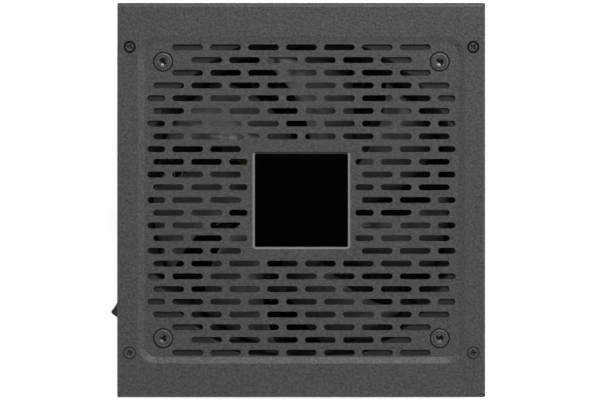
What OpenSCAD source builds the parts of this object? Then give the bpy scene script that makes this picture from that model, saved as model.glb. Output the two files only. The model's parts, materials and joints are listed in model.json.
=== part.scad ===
// Desktop computer power supply of the ATX size, standing with its fan face up.
// X runs from the rear wall (mains inlet, rocker) to the front wall (cable sockets),
// Y runs across the width and Z runs up. The origin is the middle of the underside.

/* [Case] */
// Depth from the rear wall to the front wall
case_d = 140; // [138:1:180]
// Width across the two side walls
case_w = 150; // [148:1:180]
// Height from the underside to the fan face
case_h = 86; // [84:1:110]
// Thickness of the sheet steel
sheet_t = 1; // [0.6:0.1:1.2]
// Outside radius of the bends
bend_r = 1.8; // [1.5:0.1:3]
// Air between the tray's edges and the cover
panel_fit = 0.15; // [0.05:0.05:0.4]
// Air between the cover's front edge and the front wall
front_reveal = 0.15; // [0.05:0.05:1]
// How far the cover's rear edge stays behind the rear wall's face
rear_reveal = 0.15; // [0.05:0.05:1]
// Height of the tray's upturned side flanges
side_flange_h = 9; // [5:0.5:14]
// Width of the return flanges on the end walls
return_flange_w = 8; // [4:0.5:9]

/* [Fan face] */
// Width of the sunken panel at the top of its slope
recess_w = 124; // [120.8:0.1:126]
// Depth of the sunken panel
recess_depth = 0.8; // [0.4:0.1:1.6]
// Width of the slope round the sunken panel
recess_slope = 2.4; // [1:0.1:3]
// Corner radius of the sunken panel
recess_r = 7; // [4:0.5:12]
// Length of a full slot
slot_len = 11.7; // [8:0.1:13]
// Width of a slot
slot_w = 2.3; // [1.5:0.1:3.2]
// Step between slots along a row
slot_step_x = 14.4; // [13.6:0.1:18]
// Step between rows of slots
slot_step_y = 4.83; // [4.2:0.01:4.86]
// Rows on each side of the middle row
slot_rows = 12; // [6:1:12]
// Half the width of the slotted field
slot_reach = 58.5; // [50:0.1:58.8]
// A slot cut shorter than this is left out
slot_least = 5.5; // [3:0.5:8]
// Plain ring kept round each fan screw
screw_margin = 7.5; // [5:0.5:10]

/* [Badge] */
// Length of the bare badge plate along X
badge_x = 37; // [25:0.5:40]
// Length of the bare badge plate along Y
badge_y = 36.6; // [25:0.1:38]
// Thickness of the badge plate
badge_t = 0.6; // [0.4:0.1:0.8]
// Width of the bright bevel round the badge
badge_bevel = 0.8; // [0.3:0.1:1.2]
// Corner radius of the badge
badge_r = 1.4; // [1.3:0.1:4]
// Plain border kept between the badge and the slots
badge_margin = 1.96; // [1:0.01:4]

/* [Fan] */
// Width of the square fan frame
fan_w = 120; // [110:1:120]
// Thickness of the fan frame
fan_t = 25; // [24:1:26]
// Spacing of the fan screws
fan_hole_step = 105; // [96:0.5:105]
// Radius of the fan's air duct
duct_r = 58.3; // [54:0.1:58.6]
// Radius of the duct's flared mouth
mouth_r = 63; // [60:0.5:66]
// Thickness of each flange of the fan frame
fan_flange_t = 4; // [3:0.5:5]
// Number of blades
blade_count = 7; // [5:1:9]
// Air between the blade tips and the duct
tip_gap = 1.1; // [0.6:0.1:2.5]
// Outside radius of the rotor hub
hub_r = 20.5; // [18:0.5:22]
// Thickness of the hub's wall
hub_wall = 1.5; // [1:0.1:2]
// Sweep of a blade from hub to tip, in degrees
blade_sweep = 29; // [0:1:40]
// Angle that a blade covers round the hub, in degrees
blade_span = 37; // [25:1:42]
// Height of a blade from leading to trailing edge
blade_h = 15; // [10:0.5:17]
// Thickness of a blade at its middle
blade_t = 1.8; // [1.2:0.1:2.4]
// Radius of the rotor's shaft
shaft_r = 1.5; // [1:0.1:2]
// Running clearance round the shaft
shaft_fit = 0.05; // [0.02:0.01:0.1]
// Air between the stator's poles and the magnet
air_gap = 0.6; // [0.4:0.1:1]

/* [Mains inlet] */
// Place of the inlet and the rocker across the rear wall
inlet_y = -38; // [-44:0.5:-36]
// Height of the inlet's middle
inlet_z = 22; // [21:0.5:23]
// Length of the inlet's flange
inlet_flange_w = 48; // [46:0.5:50]
// Height of the inlet's flange
inlet_flange_h = 22.4; // [21.6:0.1:24]
// Thickness of the inlet's flange
inlet_flange_t = 2.2; // [1.5:0.1:3]
// Spacing of the inlet's screws
inlet_screw_step = 40; // [38:0.5:41]
// Width of the socket that the mains plug enters
inlet_mouth_w = 24.4; // [24:0.1:25]
// Height of the socket that the mains plug enters
inlet_mouth_h = 16.4; // [16:0.1:17]
// Depth of that socket
inlet_mouth_depth = 17; // [15:0.5:18]
// Wall of the inlet's body
inlet_wall = 1.5; // [1.2:0.1:1.8]

/* [Rocker switch] */
// Height of the rocker's middle
rocker_z = 47; // [45.5:0.5:48]
// Length of the switch's bezel
bezel_w = 22.6; // [22:0.1:24]
// Height of the switch's bezel
bezel_h = 15.4; // [15:0.1:16.5]
// Thickness of the bezel
bezel_t = 2; // [1.5:0.1:2.5]
// Swing radius of the rocker's ends
rocker_r = 9.1; // [8:0.1:9.4]
// Width of the rocker
rocker_w = 10.4; // [8:0.1:11]
// Radius of the hollow in the rocker's face
rocker_hollow = 15; // [12:0.5:24]
// Tilt of the rocker each side of its middle, in degrees
rocker_tilt = 14; // [8:1:16]
// Clearance between the rocker and its bezel
rocker_fit = 0.3; // [0.2:0.05:0.4]

/* [Cable sockets] */
// Step between contacts
contact_step = 4.2; // [4.2:0.01:4.3]
// Height of a two-row socket
socket_h = 9.6; // [9.5:0.1:10.4]
// Length of a socket from its board to its mouth
socket_l = 12.8; // [12:0.1:14]
// How far the sockets stand out of the front wall
socket_out = 1.4; // [0.4:0.1:2]
// Air round each socket in the front wall
socket_fit = 0.25; // [0.1:0.05:0.4]
// Height of the upper row of sockets
upper_row_z = 43; // [41:0.5:46]
// Height of the lower row of sockets
lower_row_z = 22; // [19:0.5:25]
// Space between sockets in the upper row
upper_gap = 6; // [4.5:0.1:7]
// Space between sockets in the lower row
lower_gap = 4.4; // [3:0.1:5]

/* [Boards] */
// Thickness of the large circuit boards
board_t = 1.6; // [1:0.1:2]
// Height of the standoffs under the main board
standoff_h = 6; // [5:0.5:8]
// Space between the main board and the case walls
board_margin = 5; // [4.6:0.1:5.4]
// Thickness of the insulating sheet on the tray's floor
film_t = 0.4; // [0.2:0.1:0.8]

/* [Power components] */
// Diameter of a bulk capacitor
bulk_d = 30; // [22:0.5:30.5]
// Height of a bulk capacitor
bulk_h = 45; // [30:1:47]
// Outside diameter of the boost choke's core
boost_core_d = 33; // [28:0.5:34]
// Height of the main transformer
transformer_h = 36; // [28:1:44]
// Height of the two heatsinks
heatsink_h = 38; // [30:1:46]
// Diameter of an output capacitor
output_cap_d = 10; // [6:0.5:11]
// Height of an output capacitor
output_cap_h = 22; // [12:1:30]

/* [Hidden] */
$fn = 48;
eps = 0.01;
seat_fit = 0.05;

// Case faces
rear_x = -case_d / 2;
front_x = case_d / 2;
tray_w = case_w - 2 * (sheet_t + panel_fit);
panel_top = case_h - recess_depth;
front_corner_r = 1;

// A case under the usual size takes a smaller panel, fan and set of components
usual_d = 140;
usual_w = 150;
usual_h = 86;
usual_panel = 124;
less_d = min(0, case_d - usual_d);
less_w = min(0, case_w - usual_w);
less_h = min(0, case_h - usual_h);
panel_w = recess_w + min(less_d, less_w);
less_fan = min(0, panel_w - usual_panel);
flange_edge = panel_w / 2 + 0.3;
slot_field = min(slot_reach, panel_w / 2 - recess_slope - 0.3);
slot_field_y = panel_w / 2 - recess_slope + 0.5;
inlet_mid = inlet_y * (usual_w + less_w) / usual_w;
rocker_mid = rocker_z + 0.6 * less_h;

// Fan levels
fan_top = panel_top - sheet_t;
fan_z = fan_top - fan_t;
motor_base_t = 2.5;
motor_base_r = hub_r + 1;
tube_r = shaft_r + 3;
tube_bore_r = shaft_r + 2;
hub_low = fan_z + motor_base_t + 1;
hub_high = fan_top - 1.2;
blade_low = hub_low + 1.2;
fan_side = fan_w + less_fan;
duct = duct_r + less_fan / 2;
mouth = mouth_r + less_fan / 2;
tip_r = duct - tip_gap;
magnet_t = 2.3;
magnet_over = 2;
magnet_r = hub_r - hub_wall - seat_fit;
stator_r = magnet_r - magnet_t - air_gap;
blade_phase = 75;
blade_phase_r = 38;

// Screws
fan_screw_at = (fan_hole_step + less_fan) / 2;
cover_screw_x = (flange_edge + front_x) / 2 - 1;
cover_screw_y = case_w / 2 - 17;
fan_head_r = 3.45;
fan_head_h = 1.3;
fan_hole_r = 2.15;
fan_pocket_gap = 0.4;
fan_pocket_h = 0.45;
fan_screw_l = 10;
fan_hex_r = 1.45;
fan_hex_h = 1;
cover_head_r = 2.4;
cover_head_h = 1.1;
cover_shank_r = 1.45;
cover_screw_l = 4;
cover_cross_h = 0.7;
mount_hole_r = 1.75;
mount_collar_r = 2.8;
mount_collar_h = 1.6;
mount_low_z = 6;
mount_side_y = case_w / 2 - 6;
mount_high_z = case_h - 16;
mount_odd = [case_w / 2 - 30, case_h - 6];

// Honeycomb in the rear wall
vent_flat = 5.6;
vent_step = 6.7;
vent_edge = 7;
vent_screw_margin = 7.5;

// Inlet and rocker
inlet_body_w = inlet_mouth_w + 2 * inlet_wall;
inlet_body_h = inlet_mouth_h + 2 * inlet_wall;
inlet_corner = 5;
inlet_floor = 3;
inlet_face = rear_x - inlet_flange_t;
inlet_back = inlet_face + inlet_mouth_depth + inlet_floor;
inlet_pin_w = 2;
inlet_pin_h = 4;
inlet_pin_step = 7;
inlet_pin_rise = 2;
inlet_screw_r = 1.5;
inlet_head_r = 2.9;
inlet_head_h = 1.5;
inlet_screw_l = 6;
inlet_cross_size = 3.2;
inlet_cross_h = 0.9;
inlet_flange_r = 4;
inlet_tail_w = 0.8;
earth_pin_in = 1.5;
line_pin_in = 3;
rocker_x = rear_x + 1.5;
rocker_face = rocker_x - rear_x + bezel_t - 0.5;
rocker_depth = 2.2;
rocker_pin_r = 1.5;
rocker_pin_l = 0.9;
rocker_pin_fit = 0.1;
bezel_corner_r = 1.2;
cavity_w = 2 * (rocker_r + rocker_fit);
cavity_h = rocker_w + 2 * rocker_fit;
switch_wall = 1.1;
switch_end_wall = 0.6;
switch_body_w = cavity_w + 2 * switch_end_wall;
switch_body_h = cavity_h + 2 * switch_wall;
switch_back = rear_x + 13;
switch_floor = 1.5;
terminal_step = 4;
terminal_l = 6;
terminal_size = [0.8, 4.8];

// Boards
film_z = sheet_t;
board_z = sheet_t + standoff_h;
deck = board_z + board_t;
socket_board_x = front_x + socket_out - socket_l - board_t;
socket_board_low = sheet_t + film_t + 0.6;
socket_board_high = fan_z - 2.2;
board_x0 = rear_x + board_margin + sheet_t;
board_x1 = socket_board_x - 0.3;
board_y = case_w / 2 - board_margin;
board_screw_inset = 3.6;
board_hole_r = 1.7;
board_holes = [
    [board_x0 + board_screw_inset, -board_y + board_screw_inset],
    [board_x0 + board_screw_inset, board_y - board_screw_inset],
    [board_x1 - board_screw_inset, -board_y + board_screw_inset],
    [board_x1 - board_screw_inset, board_y - board_screw_inset],
    [board_x1 - 12, -20]
];
filter_x = inlet_back + 9;
filter_w = 39;
filter_high = 36;

// Places of the components on the main board, which draw together on a smaller board
usual_board_l = 120.6;
usual_board_y = 69.9;
usual_room = 50.5;
fit_x = min(1, (board_x1 - board_x0) / usual_board_l);
fit_y = min(1, board_y / usual_board_y);
fit = min(fit_x, fit_y, (fan_z - deck) / usual_room);
function from_rear(x) = board_x0 + x * fit_x;
function from_front(x) = board_x1 - x * fit_x;
function from_side(y) = -board_y + y * fit_y;
line_cap_at = [from_rear(19), from_side(8)];
line_choke_1 = [from_rear(15), 2 * fit_y];
line_choke_2 = [from_rear(40), -6 * fit_y];
boost_at = [from_rear(49), from_side(10.5)];
bulk_at = [from_front(34.7), from_side(bulk_d / 2 + 1)];
bulk_step = (bulk_d + 1) * fit_y;
primary_at = [from_rear(50), -33 * fit_y];
transformer_at = [from_front(46.7), 14 * fit_y];
standby_at = [from_rear(42), 22 * fit_y];
control_at = [from_rear(26), 45 * fit_y];
relay_at = [from_rear(12), 28 * fit_y];
header_at = [from_rear(12), 44 * fit_y];
header_h = 14;
disc_at = [from_rear(12), 54 * fit_y];
disc_step = 8 * fit_y;
secondary_at = [from_front(51.7), 42 * fit_y];
converter_at = [from_front(51.7), -from_side(15)];
output_at = [from_front(20.7), 10 * fit_y];
output_step = 12;
bus_y = [-3 * fit_y, 2 * fit_y];
filter_side = filter_w * fit_y;

// Sockets: contacts in one row of each kind
wide_contacts = 9;
narrow_contacts = 5;
power_contacts = 4;
drive_contacts = 3;
power_count = 5;
drive_count = 3;
contact_size = 3.5;
latch_w = 3.6;
latch_l = 2.6;
latch_h = 1.5;
latch_back = 6;
latch_fit = 0.5;
latch_room = 3.2;
socket_floor = 2.6;
contact_r = 0.5;
graphics_w = 21;
graphics_step = 3;
graphics_contacts = 6;
graphics_cell = 2.4;
upper_space = upper_gap + 0.07 * less_w;
lower_space = lower_gap + 0.07 * less_w;
function socket_w(contacts) = (contacts - 1) * contact_step + 5.4;
upper_w = socket_w(wide_contacts) + socket_w(narrow_contacts)
    + drive_count * socket_w(drive_contacts) + (drive_count + 1) * upper_space;
lower_w = power_count * socket_w(power_contacts) + graphics_w + power_count * lower_space;
wide_y = -upper_w / 2 + socket_w(wide_contacts) / 2;
narrow_y = -upper_w / 2 + socket_w(wide_contacts) + upper_space + socket_w(narrow_contacts) / 2;
function drive_y(i) = upper_w / 2 - socket_w(drive_contacts) / 2
    - i * (socket_w(drive_contacts) + upper_space);
graphics_y = -lower_w / 2 + graphics_w / 2;
function power_y(i) = lower_w / 2 - socket_w(power_contacts) / 2
    - i * (socket_w(power_contacts) + lower_space);

// Wires, along points chosen by hand from what they join
wire_r = 1.1;
earth_r = 0.9;
fan_cable_r = 1.2;
wire_gap = 0.06;
earth_lug_t = 0.8;
earth_lug_r = 3;
earth_tongue = [3, 6];
terminal_end = switch_back + terminal_l + wire_gap;
earth_y = inlet_mid - filter_side / 2 + 1.3;
board_wire_y = earth_y + 3;
switch_to_board = [
    [terminal_end, inlet_mid - terminal_step, rocker_mid],
    [terminal_end + 3.5, inlet_mid - terminal_step, rocker_mid],
    [terminal_end + 5, inlet_mid - terminal_step - 3, rocker_mid - 3],
    [terminal_end + 4.5, board_wire_y + 1.7, rocker_mid - 11],
    [terminal_end + 4, board_wire_y, rocker_mid - 21],
    [terminal_end + 4, board_wire_y, deck + 4],
    [terminal_end + 4, board_wire_y, deck + wire_gap]
];
switch_to_filter = [
    [terminal_end, inlet_mid + terminal_step, rocker_mid],
    [terminal_end + 4, inlet_mid + terminal_step, rocker_mid],
    [filter_x - 0.6, inlet_mid + terminal_step, rocker_mid - 2.5],
    [filter_x + board_t / 2, inlet_mid + terminal_step, filter_high + 4.5],
    [filter_x + board_t / 2, inlet_mid + terminal_step, filter_high + 1.5],
    [filter_x + board_t / 2, inlet_mid + terminal_step, filter_high + wire_gap]
];
earth_z = deck + earth_lug_t + earth_r - 0.15;
earth_run = [
    [filter_x - wire_gap, earth_y, 14], [filter_x - 3.8, earth_y, 14], [filter_x - 10.8, earth_y, 12.6],
    [board_holes[0][0] + 0.9, board_holes[0][1] + 8.9, earth_z + 0.3],
    [board_holes[0][0], board_holes[0][1] + 5.9, earth_z],
    [board_holes[0][0], board_holes[0][1] + 4.4, earth_z]
];
strut_side = 3.5;
function beside_strut(r) = [strut_side - r, strut_side + r] / sqrt(2);
fan_cable_run = [
    [each beside_strut(motor_base_r + 0.1), fan_z + 1.5],
    [each beside_strut(motor_base_r + 7.4), fan_z + 1.5],
    [each beside_strut(duct - 18.1), fan_z + 1.5],
    [each beside_strut(duct - 6.8), fan_z - 1.4],
    [header_at[0] + 10, header_at[1] - 0.6, fan_z - 5.4],
    [header_at[0] + 3, header_at[1], fan_z - 13.2],
    [header_at[0], header_at[1], deck + 26.4 * fit],
    [header_at[0], header_at[1], deck + 18 * fit],
    [header_at[0], header_at[1], deck + header_h * fit + wire_gap]
];

// Small helpers for vectors and swept tubes
function unit(v) = v / norm(v);
function heading(path, i) = unit(path[min(i + 1, len(path) - 1)] - path[max(i - 1, 0)]);
function ring(centre, along, side, r, sides) =
    let (a = unit(side - along * (side * along)), b = cross(along, a))
    [for (k = [0 : sides - 1]) centre + r * (cos(360 * k / sides) * a + sin(360 * k / sides) * b)];
function bend_point(p, i, s) =
    let (n = len(p) - 1, a = p[max(i - 1, 0)], b = p[i], c = p[i + 1], d = p[min(i + 2, n)])
    0.5 * (2 * b + (c - a) * s + (2 * a - 5 * b + 4 * c - d) * s * s
        + (3 * b - a - 3 * c + d) * s * s * s);
function smooth_path(p, steps) = concat(
    [for (i = [0 : len(p) - 2], k = [0 : steps - 1]) bend_point(p, i, k / steps)],
    [p[len(p) - 1]]
);

// A round tube swept along a path, with the direction of its first side given at each point
module tube(path, side_dirs, r, sides) {
    rings = len(path);
    points = [for (i = [0 : rings - 1]) each ring(path[i], heading(path, i), side_dirs[i], r, sides)];
    last = (rings - 1) * sides;
    start_cap = [for (k = [1 : sides - 2]) [0, k, k + 1]];
    end_cap = [for (k = [1 : sides - 2]) [last, last + k + 1, last + k]];
    skin = [
        for (i = [0 : rings - 2], k = [0 : sides - 1], half = [0, 1])
            let (
                a = i * sides + k,
                b = i * sides + (k + 1) % sides,
                c = b + sides,
                d = a + sides
            )
            half == 0 ? [a, d, c] : [a, c, b]
    ];
    polyhedron(points = points, faces = concat(start_cap, end_cap, skin));
}

// A wire smoothed through its points
module wire(points, r) {
    path = smooth_path(points, 3);
    tube(path, [for (p = path) [0.35, 0.8, 0.45]], r, 8);
}

// Turns of one winding on a ring core: angle and reach follow the turn number
function winding_angle(s, first, span) = first + span * s;
function round_power(v) = sign(v) * sqrt(abs(v));
function winding_point(s, turns, first, span, mid_r, reach, rise) =
    let (
        turn = 360 * turns * s,
        at = winding_angle(s, first, span),
        out = mid_r + reach * round_power(cos(turn))
    )
    [out * cos(at), out * sin(at), rise * round_power(sin(turn))];
function winding_side(s, turns, first, span) =
    let (turn = 360 * turns * s, at = winding_angle(s, first, span))
    [cos(turn) * cos(at), cos(turn) * sin(at), sin(turn)];
module winding(turns, first, span, mid_r, reach, rise, r) {
    steps = turns * 8;
    path = [for (i = [0 : steps]) winding_point(i / steps, turns, first, span, mid_r, reach, rise)];
    dirs = [for (i = [0 : steps]) winding_side(i / steps, turns, first, span)];
    tube(path, dirs, r, 6);
}

// A flat rectangle with round corners, centred
module rounded(w, d, r) {
    square([w - 2 * r, d], center = true);
    square([w, d - 2 * r], center = true);
    for (sx = [-1, 1], sy = [-1, 1])
        translate([sx * (w / 2 - r), sy * (d / 2 - r)]) circle(r);
}

// A shallow pan or bevelled plate: its sides slope in by the same amount all round
module pan(w, d, slope, h, r) {
    rotate([90, 0, 0]) linear_extrude(d - 2 * r, center = true)
        polygon([[slope - w / 2, 0], [w / 2 - slope, 0], [w / 2, h], [-w / 2, h]]);
    rotate([90, 0, 90]) linear_extrude(w - 2 * r, center = true)
        polygon([[slope - d / 2, 0], [d / 2 - slope, 0], [d / 2, h], [-d / 2, h]]);
    for (sx = [-1, 1], sy = [-1, 1])
        translate([sx * (w / 2 - r), sy * (d / 2 - r), 0]) cylinder(h, r - slope, r);
}

// Places an outline of the YZ plane so that it is extruded along X
module along_x(l) rotate([90, 0, 90]) linear_extrude(l) children();

// Places an outline of the XZ plane so that it is extruded along Y, centred
module along_y(l) rotate([90, 0, 0]) linear_extrude(l, center = true) children();

// A cross-shaped driver recess, sunk from z = 0
module cross_recess(size, depth)
    for (turn = [0, 90])
        rotate(turn) translate([0, 0, -depth / 2]) cube([size, size * 0.24, depth], center = true);

// A countersunk screw pointing down, with its head's face at z = 0
module flat_screw(head_r, head_h, shank_r, length)
    rotate_extrude()
        polygon([[0, 0], [head_r, 0], [head_r, -0.2], [shank_r, -head_h], [shank_r, -length], [0, -length]]);

// The clear space that a countersunk screw needs
module flat_screw_space(head_r, head_h, shank_r, length)
    translate([0, 0, eps]) rotate_extrude()
        polygon([
            [0, 0], [head_r + seat_fit, 0], [head_r + seat_fit, -0.2 - 2 * eps],
            [shank_r + seat_fit, -head_h], [shank_r + seat_fit, -length], [0, -length]
        ]);

// Case

module cover_outline(w, h, r) {
    translate([-w / 2, 0]) square([w, h - r]);
    translate([r - w / 2, 0]) square([w - 2 * r, h]);
    for (s = [-1, 1]) translate([s * (w / 2 - r), h - r]) circle(r);
}

module slot(x0, x1, y) {
    r = slot_w / 2;
    translate([x0 + r, y - r]) square([x1 - x0 - slot_w, slot_w]);
    for (x = [x0 + r, x1 - r]) translate([x, y]) circle(r);
}

function slot_mid(row, i) = (i + (row % 2 == 0 ? 0 : 0.5)) * slot_step_x;
function slot_from(row, i) =
    let (mid = slot_mid(row, i), low = mid - slot_len / 2)
    mid > 0 && abs(row) * slot_step_y < badge_y / 2 + badge_margin
        ? max(low, badge_x / 2 + badge_margin) : max(low, -slot_field);
function slot_to(row, i) =
    let (mid = slot_mid(row, i), high = mid + slot_len / 2)
    mid <= 0 && abs(row) * slot_step_y < badge_y / 2 + badge_margin
        ? min(high, -badge_x / 2 - badge_margin) : min(high, slot_field);
function near_screw(x, y) =
    norm([abs(x) - fan_screw_at, abs(y) - fan_screw_at]) < screw_margin;
slot_columns = ceil(slot_field / slot_step_x);
slots = [
    for (row = [-slot_rows : slot_rows], i = [-slot_columns - 1 : slot_columns])
        let (a = slot_from(row, i), b = slot_to(row, i), y = row * slot_step_y)
        if (b - a >= slot_least && abs(y) + slot_w / 2 < slot_field_y && !near_screw((a + b) / 2, y))
            [a, b, y]
];

module top_cover() color([0.27, 0.27, 0.28]) {
    length = case_d - sheet_t - front_reveal - rear_reveal;
    over = eps * recess_slope / recess_depth;
    cut_w = panel_w + 2 * over;
    difference() {
        union() {
            translate([rear_x + rear_reveal, 0, 0]) along_x(length) difference() {
                cover_outline(case_w, case_h, bend_r);
                translate([0, -eps])
                    cover_outline(case_w - 2 * sheet_t, case_h - sheet_t + eps, bend_r - sheet_t);
            }
            translate([0, 0, fan_top])
                pan(panel_w, panel_w, recess_slope, recess_depth + eps, recess_r);
        }
        translate([0, 0, panel_top])
            pan(cut_w, cut_w, recess_slope + over, recess_depth + eps, recess_r + over);
        translate([0, 0, fan_top - eps]) linear_extrude(sheet_t + 2 * eps)
            for (s = slots) slot(s[0], s[1], s[2]);
        for (sx = [-1, 1], sy = [-1, 1]) {
            translate([sx * fan_screw_at, sy * fan_screw_at, panel_top]) {
                flat_screw_space(fan_head_r, fan_head_h, fan_hole_r, cover_screw_l);
                translate([0, 0, -fan_pocket_h])
                    cylinder(fan_pocket_h + eps, r = fan_head_r + fan_pocket_gap);
            }
            translate([sx * cover_screw_x, sy * cover_screw_y, case_h])
                flat_screw_space(cover_head_r, cover_head_h, cover_shank_r, cover_screw_l);
        }
    }
}

module tray_outline(inset) {
    h = case_h - sheet_t;
    translate([0, h / 2])
        rounded(case_d - 2 * inset, h - 2 * inset, bend_r - inset);
}

module inlet_outline(grow) {
    w = inlet_body_w / 2 + grow;
    h = inlet_body_h / 2 + grow;
    polygon([
        [-w, -h], [w, -h], [w, h - inlet_corner], [w - inlet_corner, h],
        [inlet_corner - w, h], [-w, h - inlet_corner]
    ]);
}

vent_rise = vent_step * sin(60);
vent_cols = ceil(case_w / vent_step / 2);
vent_rows = ceil(case_h / vent_rise / 2);
mount_holes = [
    [-mount_side_y, mount_low_z], [mount_side_y, mount_low_z], [-mount_side_y, mount_high_z], mount_odd
];
function clear_of_mounts(y, z) = min([for (m = mount_holes) norm([y, z] - m)]) > vent_screw_margin;
function clear_of_inlet(y, z) =
    abs(y - inlet_mid) > inlet_flange_w / 2 + vent_edge / 2 || z > rocker_mid + bezel_h / 2 + vent_edge / 2;
vents = [
    for (row = [-vent_rows : vent_rows], i = [-vent_cols : vent_cols])
        let (
            y = (i + (row % 2 == 0 ? 0 : 0.5)) * vent_step,
            z = case_h / 2 + row * vent_rise
        )
        if (abs(y) < tray_w / 2 - vent_edge && abs(z - case_h / 2) < case_h / 2 - vent_edge
            && clear_of_mounts(y, z) && clear_of_inlet(y, z))
            [y, z]
];

module rear_cuts() {
    for (v = vents) translate(v) rotate(30) circle(vent_flat / sqrt(3), $fn = 6);
    for (m = mount_holes) translate(m) circle(mount_hole_r);
    translate([inlet_mid, inlet_z]) inlet_outline(seat_fit);
    for (s = [-1, 1])
        translate([inlet_mid + s * inlet_screw_step / 2, inlet_z]) circle(inlet_screw_r + seat_fit);
    translate([inlet_mid, rocker_mid])
        square([switch_body_w + 2 * seat_fit, switch_body_h + 2 * seat_fit], center = true);
}

// A window round one socket, with a notch above it for the plug's latch
module socket_window(w) {
    grow = 2 * socket_fit;
    square([w + grow, socket_h + grow], center = true);
    translate([-latch_w / 2 - latch_fit, 0]) square([latch_w + 2 * latch_fit, socket_h / 2 + latch_room]);
}

module front_cuts() {
    translate([wide_y, upper_row_z]) socket_window(socket_w(wide_contacts));
    translate([narrow_y, upper_row_z]) socket_window(socket_w(narrow_contacts));
    for (i = [0 : drive_count - 1])
        translate([drive_y(i), upper_row_z]) socket_window(socket_w(drive_contacts));
    for (i = [0 : power_count - 1])
        translate([power_y(i), lower_row_z]) socket_window(socket_w(power_contacts));
    translate([graphics_y, lower_row_z]) socket_window(graphics_w);
}

module base_tray() color([0.24, 0.24, 0.25]) {
    inner = tray_w / 2 - sheet_t;
    corner_cut = 1.2 * (bend_r - sheet_t);
    difference() {
        union() {
            along_y(tray_w) difference() {
                tray_outline(0);
                tray_outline(sheet_t);
                translate([-flange_edge, case_h / 2]) square([2 * flange_edge, case_h]);
            }
            for (s = [-1, 1]) {
                translate([rear_x + bend_r, s > 0 ? inner : -inner - sheet_t, sheet_t / 2])
                    cube([case_d - 2 * bend_r, sheet_t, side_flange_h - sheet_t / 2]);
                for (end = [-1, 1])
                    translate([
                        end > 0 ? front_x - sheet_t / 2 - return_flange_w : rear_x + sheet_t / 2,
                        s > 0 ? inner : -inner - sheet_t,
                        bend_r
                    ])
                        cube([return_flange_w, sheet_t, case_h - 2 * bend_r - sheet_t]);
            }
            translate([front_x - sheet_t, 0, 0]) along_x(sheet_t) translate([0, (case_h - sheet_t) / 2])
                rounded(case_w, case_h - sheet_t - 2 * bend_r, front_corner_r);
            for (m = mount_holes)
                translate([rear_x + sheet_t / 2, m[0], m[1]]) rotate([0, 90, 0])
                    cylinder(mount_collar_h + sheet_t / 2, r = mount_collar_r);
        }
        for (s = [-1, 1])
            translate([0, s * tray_w / 2, case_h - sheet_t]) rotate([45, 0, 0])
                cube([case_d + 2 * eps, corner_cut, corner_cut], center = true);
        translate([rear_x - eps, 0, 0]) along_x(sheet_t + mount_collar_h + 2 * eps) rear_cuts();
        translate([front_x - sheet_t - eps, 0, 0]) along_x(sheet_t + 2 * eps) front_cuts();
        for (sx = [-1, 1], sy = [-1, 1])
            translate([sx * cover_screw_x, sy * cover_screw_y, case_h])
                flat_screw_space(cover_head_r, cover_head_h, cover_shank_r, cover_screw_l + 1);
    }
}

module cover_screws() color([0.12, 0.12, 0.12])
    for (sx = [-1, 1], sy = [-1, 1])
        translate([sx * cover_screw_x, sy * cover_screw_y, case_h]) difference() {
            flat_screw(cover_head_r, cover_head_h, cover_shank_r, cover_screw_l);
            cross_recess(cross_size, cover_cross_h);
        }

module fan_screws() color([0.62, 0.62, 0.63])
    for (sx = [-1, 1], sy = [-1, 1])
        translate([sx * fan_screw_at, sy * fan_screw_at, panel_top]) difference() {
            flat_screw(fan_head_r, fan_head_h, fan_hole_r - seat_fit, fan_screw_l);
            translate([0, 0, -fan_hex_h]) cylinder(fan_hex_h + eps, r = fan_hex_r, $fn = 6);
        }

module badge_plate() color([0.02, 0.02, 0.02])
    translate([0, 0, panel_top]) mirror([0, 0, 1]) translate([0, 0, -badge_t])
        pan(badge_x, badge_y, badge_bevel, badge_t, badge_r);

// Mains inlet

module inlet_body() color([0.05, 0.05, 0.05])
    difference() {
        union() {
            translate([inlet_face, inlet_mid, inlet_z]) along_x(inlet_flange_t)
                rounded(inlet_flange_w, inlet_flange_h, inlet_flange_r);
            translate([rear_x - eps, inlet_mid, inlet_z]) along_x(inlet_back - rear_x + eps) inlet_outline(0);
        }
        translate([inlet_face - eps, inlet_mid, inlet_z]) along_x(inlet_mouth_depth + eps)
            inlet_outline(-inlet_wall);
        for (p = inlet_pin_places)
            translate([0, p[0], p[1]]) along_x_at(inlet_face, inlet_back + eps)
                square([inlet_pin_w, inlet_pin_h], center = true);
        for (s = [-1, 1])
            translate([inlet_face, inlet_mid + s * inlet_screw_step / 2, inlet_z]) rotate([0, -90, 0])
                flat_screw_space(inlet_head_r, inlet_head_h, inlet_screw_r, inlet_screw_l);
    }

inlet_pin_places = [
    [inlet_mid - inlet_pin_step, inlet_z - inlet_pin_rise],
    [inlet_mid, inlet_z + inlet_pin_rise],
    [inlet_mid + inlet_pin_step, inlet_z - inlet_pin_rise]
];
module along_x_at(x0, x1) translate([x0, 0, 0]) along_x(x1 - x0) children();

module inlet_pins() color([0.75, 0.75, 0.72])
    for (i = [0 : 2])
        let (p = inlet_pin_places[i], tip = inlet_face + (i == 1 ? earth_pin_in : line_pin_in))
        translate([0, p[0], p[1]]) {
            along_x_at(tip, inlet_back) square([inlet_pin_w, inlet_pin_h], center = true);
            along_x_at(inlet_back - eps, filter_x) square([inlet_tail_w, inlet_pin_h], center = true);
        }

module inlet_screws() color([0.1, 0.1, 0.1])
    for (s = [-1, 1])
        translate([inlet_face, inlet_mid + s * inlet_screw_step / 2, inlet_z]) rotate([0, -90, 0])
            difference() {
                flat_screw(inlet_head_r, inlet_head_h, inlet_screw_r, inlet_screw_l);
                cross_recess(inlet_cross_size, inlet_cross_h);
            }

// Rocker switch

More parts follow.
